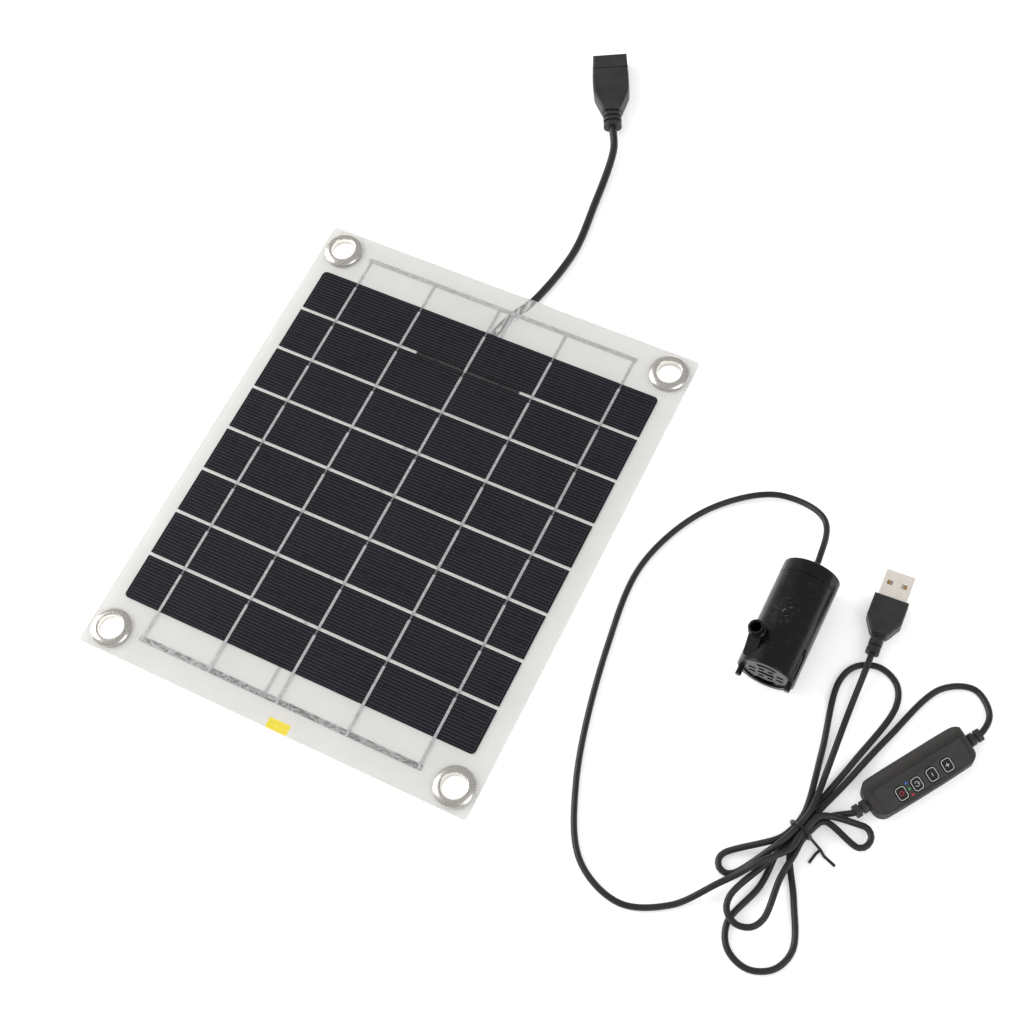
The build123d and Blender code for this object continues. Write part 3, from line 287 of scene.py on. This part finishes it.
def wetted(g, node, soft):
    """1 over the area of a piece that is stuck to the back of the sheet, where the frosting turns clear."""
    low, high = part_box(node)
    x, y, _ = g.axes()
    masks = [
        g.near(value, (low[i] + high[i]) / 2, (high[i] - low[i]) / 2, soft) for i, value in ((0, x), (1, y))
    ]
    return g.times(*masks)


def cable_line():
    """Where the line of sight to the cable crosses the panel's edge, and the direction across it there."""
    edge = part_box("back_sheet")[1][1]
    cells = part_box("solar_cell_strips")[1][1]
    points = np.array([v.co for v in frame["nodes"]["panel_cable"].data.vertices], float)
    sight = np.array(CAMERA_PLACE) - points
    points += sight * ((SHEET_BACK_TOP - points[:, 2:]) / sight[:, 2:])
    under = points[(points[:, 1] > cells) & (points[:, 1] < edge)]
    slope, offset = np.polyfit(under[:, 1], under[:, 0], 1)
    across = Vector((1, -slope, 0)).normalized()
    return Vector((slope * edge + offset, edge, 0)), across


def clear_share(g):
    """How clear the back sheet is: a little all over, streaky over the cable, most over the tab and the tape."""
    _, y, _ = g.axes()
    start, side = cable_line()
    strip = g.near(g.along(side, start), 0.0, 2.0 * MM, 1.0 * MM)
    cells_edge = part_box("solar_cell_strips")[1][1]
    strip = g.times(strip, g.range(y, cells_edge - 2 * MM, cells_edge))
    streaks = g.range(g.noise(2.6 * MM, detail=2, stretch=(0.5, 2.5, 1), distortion=0.8), 0.56, 0.62)
    clear = g.calc("MAXIMUM", 0.30, g.times(strip, g.range(streaks, 0, 1, 0.80, 0.30)))
    clear = g.calc("MAXIMUM", clear, g.times(wetted(g, "inspection_tab", 0.4 * MM), 0.93))
    return g.calc("MAXIMUM", clear, g.times(wetted(g, "box_adhesive", 1.5 * MM), 0.96))


def frosted_sheet():
    """The frosted back of the laminate: milky, with a faint painted glow standing in for light from below, and
    clear where something sticks to it.
    """
    g = Graph("frosted_back")
    cloud = g.range(g.noise(22 * MM, detail=4), 0.3, 0.7)
    colour = g.mix(cloud, (0.895, 0.890, 0.882), (0.94, 0.937, 0.932))
    # The milky surface glows faintly: painted light, standing in for light that reaches it from below.
    milk = g.surface(
        Base_Color=colour,
        Roughness=0.55,
        Normal=g.bump(g.noise(0.6 * MM, detail=3), 0.03 * MM),
        Emission_Color=colour,
        Emission_Strength=0.05,
    )
    return g.done(g.blend(clear_share(g), milk, g.see_through((0.97, 0.97, 0.96))))


def cell_prints(g):
    """Where the cells are printed: fingers along the rows, short ticks between them, an edge line, and busbars."""
    low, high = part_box("solar_cell_strips")
    middle, half = (low[0] + high[0]) / 2, (high[0] - low[0]) / 2
    x, y, _ = g.axes()
    down = g.calc("FLOORED_MODULO", g.calc("SUBTRACT", high[1], y), CELL_PITCH)
    inside = g.times(
        g.near(down, CELL_HEIGHT / 2, CELL_HEIGHT / 2 - 0.75 * MM, 0.1 * MM),
        g.near(x, middle, half - 1.0 * MM, 0.15 * MM),
    )
    fingers = g.times(g.stripe(down, FINGER_PITCH, 0.85 * MM, 0.10 * MM, 0.34 * MM), inside)
    broken = g.range(g.noise(3 * MM, detail=3, stretch=(3, 0.4, 1)), 0.36, 0.46, 0.55, 1.0)
    ticks = [
        g.times(
            g.stripe(x, TICK_PITCH[0], middle + shift * TICK_PITCH[0], 0.07 * MM, 0.14 * MM),
            g.stripe(down, TICK_PITCH[1], shift * TICK_PITCH[1], 0.45 * MM, 0.12 * MM),
        )
        for shift in (0.25, 0.75)
    ]
    ticks = g.times(g.calc("MAXIMUM", *ticks), inside)
    from_middle = g.calc("ABSOLUTE", g.calc("SUBTRACT", x, middle))
    edge = g.near(from_middle, half - 1.0 * MM, 0.05 * MM, 0.1 * MM)
    busbar = g.stripe(x, BUSBAR_PITCH, middle, 0.28 * MM, 0.12 * MM)
    return g.times(fingers, broken), ticks, edge, busbar


def solar_cell():
    """Dark blue-black silicon with paler printed lines."""
    g = Graph("solar_cell")
    fingers, ticks, edge, busbar = cell_prints(g)
    patches = g.range(g.noise(40 * MM, detail=3), 0.35, 0.65)
    colour = g.mix(patches, (0.0055, 0.0045, 0.0100), (0.0095, 0.0080, 0.0165))
    for lines, strength, ink in (
        (fingers, 0.75, (0.060, 0.057, 0.070)),
        (ticks, 0.5, (0.075, 0.072, 0.088)),
        (edge, 0.5, (0.11, 0.11, 0.12)),
        (busbar, 0.75, (0.33, 0.32, 0.33)),
    ):
        colour = g.mix(g.times(lines, strength), colour, ink)
    rough = g.range(fingers, 0, 1, 0.42, 0.5)
    normal = g.bump(fingers, 0.01 * MM)
    return g.done(g.surface(Base_Color=colour, Roughness=rough, Specular_IOR_Level=0.2, Normal=normal))


def ribbon_metal():
    """Hot-dipped ribbon: bright tin with solder ripples along it."""
    g = Graph("tinned_ribbon")
    ripple = g.noise(1.6 * MM, detail=4, roughness=0.65, distortion=0.4)
    colour = g.mix(g.range(ripple, 0.35, 0.65), (0.62, 0.62, 0.63), (0.90, 0.90, 0.91))
    rough = g.range(g.noise(0.8 * MM, detail=3), 0.3, 0.7, 0.30, 0.55)
    return g.done(
        g.surface(Base_Color=colour, Metallic=0.5, Roughness=rough, Normal=g.bump(ripple, 0.12 * MM))
    )


def bus_metal():
    """The wider cross ribbon: flat tin that mirrors in patches."""
    g = Graph("bus_ribbon")
    mottle = g.noise(2.4 * MM, detail=5, roughness=0.7, stretch=(1.6, 0.7, 1), distortion=1.2)
    colour = g.mix(g.range(mottle, 0.42, 0.58), (0.42, 0.42, 0.44), (0.74, 0.74, 0.74))
    rough = g.range(mottle, 0.4, 0.6, 0.18, 0.5)
    return g.done(
        g.surface(Base_Color=colour, Metallic=0.6, Roughness=rough, Normal=g.bump(mottle, 0.10 * MM))
    )


def tape():
    """Yellow film tape with a crinkled surface, glowing a little as if lit from below."""
    g = Graph("yellow_tape")
    crinkle = g.noise(2.0 * MM, detail=4, stretch=(1.5, 0.4, 1))
    colour = g.mix(g.range(crinkle, 0.35, 0.65), (0.84, 0.68, 0.010), (0.93, 0.78, 0.020))
    normal = g.bump(crinkle, 0.2 * MM)
    return g.done(
        g.surface(
            Base_Color=colour, Roughness=0.45, Normal=normal, Emission_Color=colour, Emission_Strength=0.38
        )
    )


def cable_jacket():
    """Soft satin PVC jacket with a faint lay of the wires inside and some dust."""
    g = Graph("cable_pvc")
    dust = g.range(g.noise(0.8 * MM, detail=5, roughness=0.7), 0.62, 0.75)
    tone = g.range(g.noise(25 * MM, detail=3), 0.35, 0.65)
    colour = g.mix(tone, (0.0125, 0.0125, 0.013), (0.021, 0.021, 0.0215))
    colour = g.mix(g.times(dust, 0.18), colour, (0.20, 0.20, 0.19))
    rough = g.range(g.noise(2 * MM, detail=4), 0.3, 0.7, 0.36, 0.52)
    return g.done(
        g.surface(Base_Color=colour, Roughness=rough, Normal=g.bump(g.noise(1.1 * MM, detail=2), 0.05 * MM))
    )


def pump_shell():
    """Glossy black moulding with hairline scratches, a patch of handling marks near the outlet and dust."""
    g = Graph("pump_gloss")
    low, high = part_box("pump_housing")
    hair = g.noise(1.6 * MM, detail=7, roughness=0.8, stretch=(1, 0.12, 1), distortion=0.7)
    hair = g.times(g.range(hair, 0.60, 0.66), 0.25)
    centre = Vector((low[0] + 0.38 * (high[0] - low[0]), low[1] + 0.56 * (high[1] - low[1]), high[2]))
    away = g.node("ShaderNodeVectorMath", operation="DISTANCE")
    g.feed(away.inputs[0], g.place)
    g.feed(away.inputs[1], tuple(centre))
    worn_zone = g.range(away.outputs["Value"], 3 * MM, 9 * MM, 1.0, 0.0, smooth=True)
    marks = g.range(g.noise(2.4 * MM, detail=6, roughness=0.75, distortion=2.0), 0.58, 0.64)
    marks = g.times(marks, worn_zone)
    specks = g.range(g.scattered(1.7 * MM), 0.05, 0.09, 1.0, 0.0)
    worn = g.calc("MAXIMUM", g.times(marks, 0.7), g.times(specks, 0.35))
    worn = g.calc("MAXIMUM", hair, worn)
    colour = g.mix(worn, (0.0050, 0.0048, 0.0050), (0.28, 0.27, 0.24))
    rough = g.range(g.noise(5 * MM, detail=5), 0.3, 0.7, 0.2, 0.32)
    rough = g.calc("ADD", rough, g.times(worn, 0.3))
    waves = g.bump(g.noise(4 * MM, detail=3), 0.05 * MM)
    return g.done(g.surface(Base_Color=colour, Roughness=rough, Specular_IOR_Level=0.4, Normal=waves))


def controller_shell(middle, along, across):
    """Fine matt texture, with a smoother dark panel where the buttons are and paler worn edges."""
    g = Graph("controller_matt")
    u, v = g.along(along, middle), g.along(across, middle)
    panel = g.times(
        g.near(u, SMOOTH_MIDDLE[0], SMOOTH_HALF[0], 0.8 * MM),
        g.near(v, SMOOTH_MIDDLE[1], SMOOTH_HALF[1], 0.5 * MM),
    )
    grain = g.noise(0.34 * MM, detail=3, roughness=0.7)
    tone = g.range(g.noise(7 * MM, detail=4), 0.3, 0.7)
    matt = g.mix(tone, (0.0125, 0.0118, 0.0113), (0.0200, 0.0188, 0.0180))
    smooth = g.mix(tone, (0.0070, 0.0070, 0.0074), (0.0098, 0.0098, 0.0103))
    geometry = g.node("ShaderNodeNewGeometry")
    worn = g.times(g.range(geometry.outputs["Pointiness"], 0.52, 0.60), 0.35)
    colour = g.mix(worn, g.mix(panel, matt, smooth), (0.10, 0.095, 0.09))
    rough = g.range(panel, 0, 1, 0.62, 0.42)
    height = g.times(grain, g.range(panel, 0, 1, 1.0, 0.15))
    normal = g.bump(height, 0.14 * MM)
    return g.done(g.surface(Base_Color=colour, Roughness=rough, Specular_IOR_Level=0.3, Normal=normal))


def circuit_board():
    """Green solder mask over copper tracks."""
    g = Graph("circuit_board")
    tracks = g.range(g.noise(2.6 * MM, detail=0, distortion=2.5), 0.49, 0.53)
    colour = g.mix(tracks, (0.012, 0.10, 0.035), (0.03, 0.19, 0.07))
    return g.done(g.surface(Base_Color=colour, Roughness=0.35, Normal=g.bump(tracks, 0.03 * MM)))


def winding():
    """Enamelled copper wire, as close-packed strands, with a painted highlight along each strand's crest and
    painted shade between them.
    """
    g = Graph("copper_winding")
    _, _, z = g.axes()
    strands = g.stripe(z, 0.3 * MM, 0.0, 0.05 * MM, 0.1 * MM)
    # Bright along each strand's middle and dark between: a painted highlight on the crests and painted shade in
    # the grooves.
    colour = g.mix(strands, (0.25, 0.08, 0.03), (0.72, 0.30, 0.13))
    normal = g.bump(strands, 0.05 * MM)
    return g.done(g.surface(Base_Color=colour, Metallic=0.9, Roughness=0.35, Normal=normal))


def laminations():
    """A stack of thin steel sheets."""
    g = Graph("motor_steel")
    _, y, _ = g.axes()
    sheets = g.stripe(y, 0.5 * MM, 0.0, 0.16 * MM, 0.06 * MM)
    colour = g.mix(sheets, (0.12, 0.12, 0.12), (0.46, 0.47, 0.48))
    normal = g.bump(sheets, 0.03 * MM)
    return g.done(g.surface(Base_Color=colour, Metallic=0.9, Roughness=0.4, Normal=normal))


def paint(name, colour, glow=0.0):
    """Thin printed ink, a little uneven; a glow above 0 is painted light that makes the ink glow, though it is no
    lamp.
    """
    g = Graph(name)
    patchy = g.range(g.noise(0.5 * MM, detail=4), 0.3, 0.6, 0.72, 1.0)
    ink = g.mix(patchy, tuple(0.35 * c for c in colour), colour)
    return g.done(g.surface(Base_Color=ink, Roughness=0.6, Emission_Color=ink, Emission_Strength=glow))


def light_pipes(middle, across):
    """Three small clear pipes tinted blue, green and red, in that order across the controller."""
    g = Graph("light_pipe")
    v = g.along(across, middle)
    lower, upper = (g.range(v, gap - 0.1 * MM, gap + 0.1 * MM) for gap in PIPE_GAPS)
    colour = g.mix(upper, g.mix(lower, (0.30, 0.012, 0.02), (0.03, 0.22, 0.07)), (0.035, 0.07, 0.38))
    bright = g.range(g.noise(0.3 * MM, detail=2), 0.3, 0.7, 0.7, 1.2)
    tint = g.mix(bright, (0, 0, 0), colour)
    return g.done(g.surface(Base_Color=tint, Roughness=0.3, Emission_Color=tint, Emission_Strength=0.25))


# ---------------------------------------------------------------- mesh helpers


def link(name, data):
    """A new object in the scene for a mesh, a light or a camera."""
    made = bpy.data.objects.new(name, data)
    bpy.context.scene.collection.objects.link(made)
    return made


def riding(name, mesh, material, body):
    """A mesh in one material, as an object that moves with a CAD body."""
    mesh.materials.append(material)
    made = link(name, mesh)
    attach(made, body)
    return made


def piece(name, verts, faces, material, body, smooth=True):
    """A riding mesh piece from its vertices and faces."""
    mesh = bpy.data.meshes.new(name)
    mesh.from_pydata([tuple(v) for v in verts], [], faces)
    work = bmesh.new()
    work.from_mesh(mesh)
    bmesh.ops.recalc_face_normals(work, faces=work.faces)
    work.to_mesh(mesh)
    work.free()
    if smooth:
        mesh.shade_smooth()
    return riding(name, mesh, material, body)


def spun(profile, centre, segments=96):
    """Vertices and faces of a closed (radius, height) profile turned about a vertical axis through centre."""
    verts, faces = [], []
    count = len(profile)
    for i in range(segments):
        turn = 2 * math.pi * i / segments
        c, s = math.cos(turn), math.sin(turn)
        verts += [(centre[0] + r * c, centre[1] + r * s, z) for r, z in profile]
        for j in range(count):
            k, m = (j + 1) % count, (i + 1) % segments
            faces.append((i * count + j, m * count + j, m * count + k, i * count + k))
    return verts, faces


def rounded_outline(half_width, half_height, radius, steps=6):
    """Points round a rounded rectangle, anticlockwise."""
    points = []
    for cx, cy, first in ((1, 1, 0), (-1, 1, 90), (-1, -1, 180), (1, -1, 270)):
        for i in range(steps + 1):
            turn = math.radians(first + 90 * i / steps)
            x = cx * (half_width - radius) + radius * math.cos(turn)
            y = cy * (half_height - radius) + radius * math.sin(turn)
            points.append((x, y))
    return points


def arc(radius, first, last, steps=14):
    """Points along an arc between two angles in degrees."""
    turns = [math.radians(first + (last - first) * i / steps) for i in range(steps + 1)]
    return [(radius * math.cos(t), radius * math.sin(t)) for t in turns]


# ---------------------------------------------------------------- controller's own axes


def face_middle(node, up):
    """The middle of a node's top face, looking along up."""
    points = np.array([v.co for v in frame["nodes"][node].data.vertices], float)
    heights = points @ np.array(up)
    top = points[heights > heights.max() - 0.005 * MM]
    return Vector((top.min(0) + top.max(0)) / 2)


press = next(j for j in frame["joints"] if j["name"] == "power_button_press")
slope_up = -Vector(press["axis"]).normalized()
power_face = face_middle("power_button", slope_up)
plus_face = face_middle("plus_button", slope_up)
long_way = plus_face - power_face
long_way = (long_way - slope_up * long_way.dot(slope_up)).normalized()
short_way = slope_up.cross(long_way).normalized()
slope_middle = power_face + long_way * SLOPE_FROM_POWER[0] + short_way * SLOPE_FROM_POWER[1]

# ---------------------------------------------------------------- materials on the CAD nodes

FINISHES = {
    "solar_cell": solar_cell(),
    "tinned_ribbon": ribbon_metal(),
    "nickel": metal("nickel", (0.90, 0.865, 0.81), 0.24, stretch=(1, 1, 0.3), shine=0.88),
    "yellow_tape": tape(),
    "adhesive": plastic("foam_tape", (0.012, 0.012, 0.012), 0.8, grain=0.6 * MM, depth=0.2 * MM),
    "black_box_plastic": plastic("box_plastic", (0.016, 0.016, 0.017), 0.5, grain=0.4 * MM, scuffs=0.2),
    "rubber_black": plastic("soft_rubber", (0.014, 0.014, 0.014), 0.65, grain=0.5 * MM),
    "circuit_board": circuit_board(),
    "component_black": plastic("epoxy_case", (0.02, 0.02, 0.022), 0.5),
    "capacitor_tan": plastic("ceramic_tan", (0.40, 0.26, 0.13), 0.45),
    "cable_pvc": cable_jacket(),
    "overmold_pvc": plastic(
        "overmould", (0.0255, 0.0255, 0.0262), 0.46, grain=0.3 * MM, depth=0.03 * MM, scuffs=0.12
    ),
    "usb_steel": metal(
        "usb_steel",
        (0.98, 0.92, 0.85),
        0.5,
        scratch=0.01 * MM,
        tarnish=(0.62, 0.52, 0.46),
        spots=0.25,
        shine=0.6,
    ),
    "usb_insulator": plastic("white_insulator", (0.72, 0.72, 0.69), 0.4, vary=0.06),
    "gold_contact": metal("gold_contact", (0.94, 0.72, 0.30), 0.2),
    "controller_plastic": controller_shell(slope_middle, long_way, short_way),
    "light_pipe": light_pipes(slope_middle, short_way),
    "pump_plastic": pump_shell(),
    "potting_resin": plastic("potting", (0.015, 0.015, 0.016), 0.15, grain=3 * MM, depth=0.1 * MM),
    "motor_steel": laminations(),
    "copper_winding": winding(),
    "magnet": plastic("ferrite", (0.035, 0.035, 0.038), 0.55, grain=0.2 * MM, depth=0.05 * MM),
    "tie_wire": plastic("tie_coating", (0.013, 0.013, 0.014), 0.32, grain=1.0 * MM),
    "clear_laminate": frosted_sheet(),
}
BUS_METAL = bus_metal()
CLEAR = clear_sheet()

for part in frame["record"]["subparts"]:
    mesh = frame["nodes"][part["node"]].data
    mesh.materials.clear()
    mesh.materials.append(FINISHES[part["material_slot"]])
frame["nodes"]["bottom_bus_ribbon"].data.materials[0] = BUS_METAL

# ---------------------------------------------------------------- the clear front of the laminate


def eyelet_centres():
    """The middles of the four eyelets, from the corners of the node that holds them."""
    low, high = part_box("eyelet_flanges")
    xs, ys = ((low[i] + EYELET_EDGE, high[i] - EYELET_EDGE) for i in (0, 1))
    return [(x, y) for x in xs for y in ys]


def closed_edges(ring):
    """Pairs of neighbours round a closed ring."""
    return list(zip(ring, ring[1:] + ring[:1]))


def front_walls():
    """Rings of points, bottom to top, up the rim of the clear front and up each of its four holes."""
    low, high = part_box("front_film")
    half = ((high[0] - low[0]) / 2, (high[1] - low[1]) / 2)
    top = high[2]
    levels = (
        (SHEET_BACK_TOP + FRONT_GAP, 0.0),
        (top - RIM_SOFTNESS, 0.0),
        (top - 0.3 * RIM_SOFTNESS, 0.3 * RIM_SOFTNESS),
        (top, RIM_SOFTNESS),
    )
    walls = [
        [
            [(x, y, z) for x, y in rounded_outline(half[0] - inset, half[1] - inset, SHEET_CORNER)]
            for z, inset in levels
        ]
    ]
    for cx, cy in eyelet_centres():
        walls.append(
            [[(cx + x, cy + y, z) for x, y in arc(EYELET_HOLE + inset, 0, 354, 59)] for z, inset in levels]
        )
    return walls


def clear_front():
    """One slab over the cells with four holes and softly rounded rims: film and encapsulant together."""
    work = bmesh.new()
    floor_edges, roof_edges = [], []
    for wall in front_walls():
        rings = [[work.verts.new(point) for point in ring] for ring in wall]
        for ring, above in zip(rings, rings[1:]):
            for (a, b), (c, d) in zip(closed_edges(ring), closed_edges(above)):
                work.faces.new((a, b, d, c))
        floor_edges += [work.edges.get(pair) for pair in closed_edges(rings[0])]
        roof_edges += [work.edges.get(pair) for pair in closed_edges(rings[-1])]
    for edges in (floor_edges, roof_edges):
        bmesh.ops.triangle_fill(work, edges=edges, use_beauty=True, use_dissolve=False)
    bmesh.ops.recalc_face_normals(work, faces=work.faces)
    mesh = bpy.data.meshes.new("clear_front")
    work.to_mesh(mesh)
    work.free()
    made = riding("clear_front", mesh, CLEAR, "panel")
    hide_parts("front_film", "encapsulant")


clear_front()

# ---------------------------------------------------------------- eyelets


def eyelet_profile():
    """Radius and height round the section of one eyelet: barrel, rolled lip and flange."""
    low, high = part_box("eyelet_flanges")
    back, top = low[2], high[2]
    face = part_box("front_film")[1][2]
    rise = top - face
    lip = [(EYELET_BORE, back), (EYELET_BORE, top - 0.55 * rise)]
    lip += [
        (EYELET_BORE + 0.62 * MM * (1 - math.cos(t)), top - 0.5 * rise * (1 - math.sin(t)))
        for t in np.radians([20, 40, 60, 75, 90])
    ]
    flange = [
        (EYELET_BORE + 1.15 * MM, top - 0.03 * rise),
        (EYELET_BORE + 1.6 * MM, top - 0.12 * rise),
        (EYELET_BORE + 2.2 * MM, top - 0.26 * rise),
        (EYELET_BORE + 2.8 * MM, top - 0.48 * rise),
        (EYELET_EDGE - 0.22 * MM, top - 0.74 * rise),
        (EYELET_EDGE, face + 0.12 * rise),
        (EYELET_EDGE - 0.03 * MM, face + 0.01 * MM),
    ]
    under = [(EYELET_BORE + 0.4 * MM, face + 0.01 * MM), (EYELET_BORE + 0.4 * MM, back)]
    return lip + flange + under


def eyelets():
    """All four eyelets' front halves as one piece."""
    verts, faces = [], []
    for centre in eyelet_centres():
        more_verts, more_faces = spun(eyelet_profile(), centre)
        faces += [tuple(i + len(verts) for i in face) for face in more_faces]
        verts += more_verts
    made = piece("eyelets", verts, faces, FINISHES["nickel"], "panel")
    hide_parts("eyelet_flanges")


eyelets()

# ---------------------------------------------------------------- prints on the controller

PRINT_THICKNESS = 0.03 * MM
PRINT_HALF = (2.05 * MM, 2.55 * MM)
PRINT_STROKE = 0.26 * MM
WHITE_INK = paint("white_ink", (0.50, 0.50, 0.49))
# The red ink glows a little: painted light, as the print is no lamp.
RED_INK = paint("red_ink", (0.42, 0.025, 0.035), glow=0.1)


def band_faces(n, first):
    """Faces of a flat thickened band between two rings of n points; first is its first vertex."""
    up = 2 * n
    faces = []
    for i in range(n):
        j = (i + 1) % n
        o, p, a, b = first + i, first + j, first + n + i, first + n + j
        faces += [(o, p, b, a), (o + up, a + up, b + up, p + up)]
        faces += [(o, o + up, p + up, p), (a, b, b + up, a + up)]
    return faces


def plate_faces(n, first):
    """Faces of a flat thickened polygon with n points; first is its first vertex."""
    lower = [first + i for i in range(n)]
    upper = [first + n + i for i in range(n)]
    sides = zip(closed_edges(lower), closed_edges(upper))
    return [tuple(lower), tuple(reversed(upper))] + [(a, c, d, b) for (a, b), (c, d) in sides]


def stroke(points, width):
    """The outline of a line of points drawn with a pen of the given width."""
    points = [Vector(p) for p in points]
    left, right = [], []
    for i, p in enumerate(points):
        before, after = points[max(i - 1, 0)], points[min(i + 1, len(points) - 1)]
        side = (after - before).normalized().orthogonal() * width / 2
        left.append(tuple(p + side))
        right.append(tuple(p - side))
    return left + right[::-1]


def printed(name, node, shapes, rings, ink):
    """Ink on one button's face: filled shapes and closed rings, given along and across from its middle."""
    middle = face_middle(node, slope_up)
    verts, faces = [], []

    def place(points, height):
        return [middle + long_way * p[0] + short_way * p[1] + slope_up * height for p in points]

    for outline in shapes:
        first = len(verts)
        verts += place(outline, -PRINT_THICKNESS) + place(outline, PRINT_THICKNESS)
        faces += plate_faces(len(outline), first)
    for outer, inner in rings:
        first = len(verts)
        verts += place(outer + inner, -PRINT_THICKNESS) + place(outer + inner, PRINT_THICKNESS)
        faces += band_faces(len(outer), first)
    return piece(name, verts, faces, ink, node, smooth=False)


def frame_ring():
    """The rounded outline printed on every button."""
    width, height = PRINT_HALF
    outer = rounded_outline(width, height, 1.3 * MM)
    inner = rounded_outline(width - PRINT_STROKE, height - PRINT_STROKE, 1.3 * MM - PRINT_STROKE)
    return outer, inner


def cross(reach, half):
    """The outline of a plus sign."""
    arm = ((half, reach), (-half, reach), (-half, half))
    quarters = ((1, 0), (0, 1), (-1, 0), (0, -1))
    return [(x * c - y * s, x * s + y * c) for c, s in quarters for x, y in arm]


def bar(reach, half):
    """The outline of a short bar across the controller."""
    return [(-half, -reach), (half, -reach), (half, reach), (-half, reach)]


def prints():
    """The outline and the symbol on each of the four buttons."""
    pen = 0.22 * MM
    for name in ("power_button", "timer_button", "minus_button", "plus_button"):
        printed(name + "_outline", name, [], [frame_ring()], WHITE_INK)
    power = [stroke(arc(0.85 * MM, 30, 330), pen), stroke([(0.25 * MM, 0), (1.15 * MM, 0)], pen)]
    printed("power_symbol", "power_button", power, [], RED_INK)
    timer = [stroke(arc(0.95 * MM, -160, 140), pen), stroke([(0, 0), (0.6 * MM, 0)], pen)]
    printed("timer_symbol", "timer_button", timer, [], WHITE_INK)
    printed("minus_symbol", "minus_button", [bar(0.75 * MM, 0.14 * MM)], [], WHITE_INK)
    printed("plus_symbol", "plus_button", [cross(0.8 * MM, 0.15 * MM)], [], WHITE_INK)


prints()

# ---------------------------------------------------------------- floor, light and camera


def floor():
    """A wide sheet of pale paper that glows a little, and that is seen only from above."""
    low, _ = cad_box
    size = 6.0
    mesh = bpy.data.meshes.new("floor")
    corners = [(-size, -size), (size, -size), (size, size), (-size, size)]
    mesh.from_pydata([(x, y, low[2] - 0.02 * MM) for x, y in corners], [], [(0, 1, 2, 3)])
    g = Graph("paper_floor")
    tone = g.range(g.noise(60 * MM, detail=3), 0.3, 0.7)
    colour = g.mix(tone, (0.90, 0.90, 0.90), (0.92, 0.92, 0.92))
    paper = g.surface(
        Base_Color=colour,
        Roughness=0.9,
        Specular_IOR_Level=0.1,
        Emission_Color=colour,
        Emission_Strength=0.35,
    )
    below = g.node("ShaderNodeNewGeometry").outputs["Backfacing"]
    mesh.materials.append(g.done(g.blend(below, paper, g.see_through())))
    link("floor", mesh)


def area_light(name, place, target, size, power, colour):
    """A square lamp at place that faces target."""
    data = bpy.data.lights.new(name, "AREA")
    data.shape = "RECTANGLE"
    data.size = data.size_y = size
    data.energy = power
    data.color = colour
    made = link(name, data)
    made.location = place
    made.rotation_mode = "QUATERNION"
    made.rotation_quaternion = (Vector(target) - Vector(place)).to_track_quat("-Z", "Y")


def lighting():
    """A large soft key light on the left, a weak fill, and a pale room that is darker in reflections."""
    area_light("key", (-1.6, -0.2, 1.1), (0.08, 0, 0), size=1.2, power=24.0, colour=(1.0, 0.99, 0.975))
    area_light("fill", (1.1, -0.3, 1.0), (0.12, 0, 0), size=0.8, power=4.0, colour=(0.97, 0.985, 1.0))
    world = bpy.data.worlds.new("room")
    bpy.context.scene.world = world
    world.use_nodes = True
    tree = world.node_tree
    tree.nodes.clear()
    output = tree.nodes.new("ShaderNodeOutputWorld")
    back = tree.nodes.new("ShaderNodeBackground")
    rays = tree.nodes.new("ShaderNodeLightPath")
    level = tree.nodes.new("ShaderNodeMapRange")
    level.inputs["To Min"].default_value = ROOM_LIGHT
    level.inputs["To Max"].default_value = ROOM_REFLECTED
    tree.links.new(rays.outputs["Is Glossy Ray"], level.inputs["Value"])
    back.inputs["Color"].default_value = (1, 1, 1, 1)
    tree.links.new(level.outputs[0], back.inputs["Strength"])
    tree.links.new(back.outputs[0], output.inputs["Surface"])


def camera():
    """The photo's camera: high on the right, looking down and turned a little."""
    data = bpy.data.cameras.new("camera")
    data.sensor_width = 36.0
    data.lens = CAMERA_LENS
    made = link("camera", data)
    a, e = math.radians(CAMERA_AZIMUTH), math.radians(CAMERA_ELEVATION)
    back = Vector((math.sin(a) * math.cos(e), -math.cos(a) * math.cos(e), math.sin(e)))
    level = back.to_track_quat("Z", "Y")
    made.rotation_mode = "QUATERNION"
    made.rotation_quaternion = level @ Matrix.Rotation(math.radians(-CAMERA_ROLL), 4, "Z").to_quaternion()
    made.location = CAMERA_PLACE
    bpy.context.scene.camera = made


floor()
lighting()
camera()
bpy.context.scene.view_settings.view_transform = "Standard"
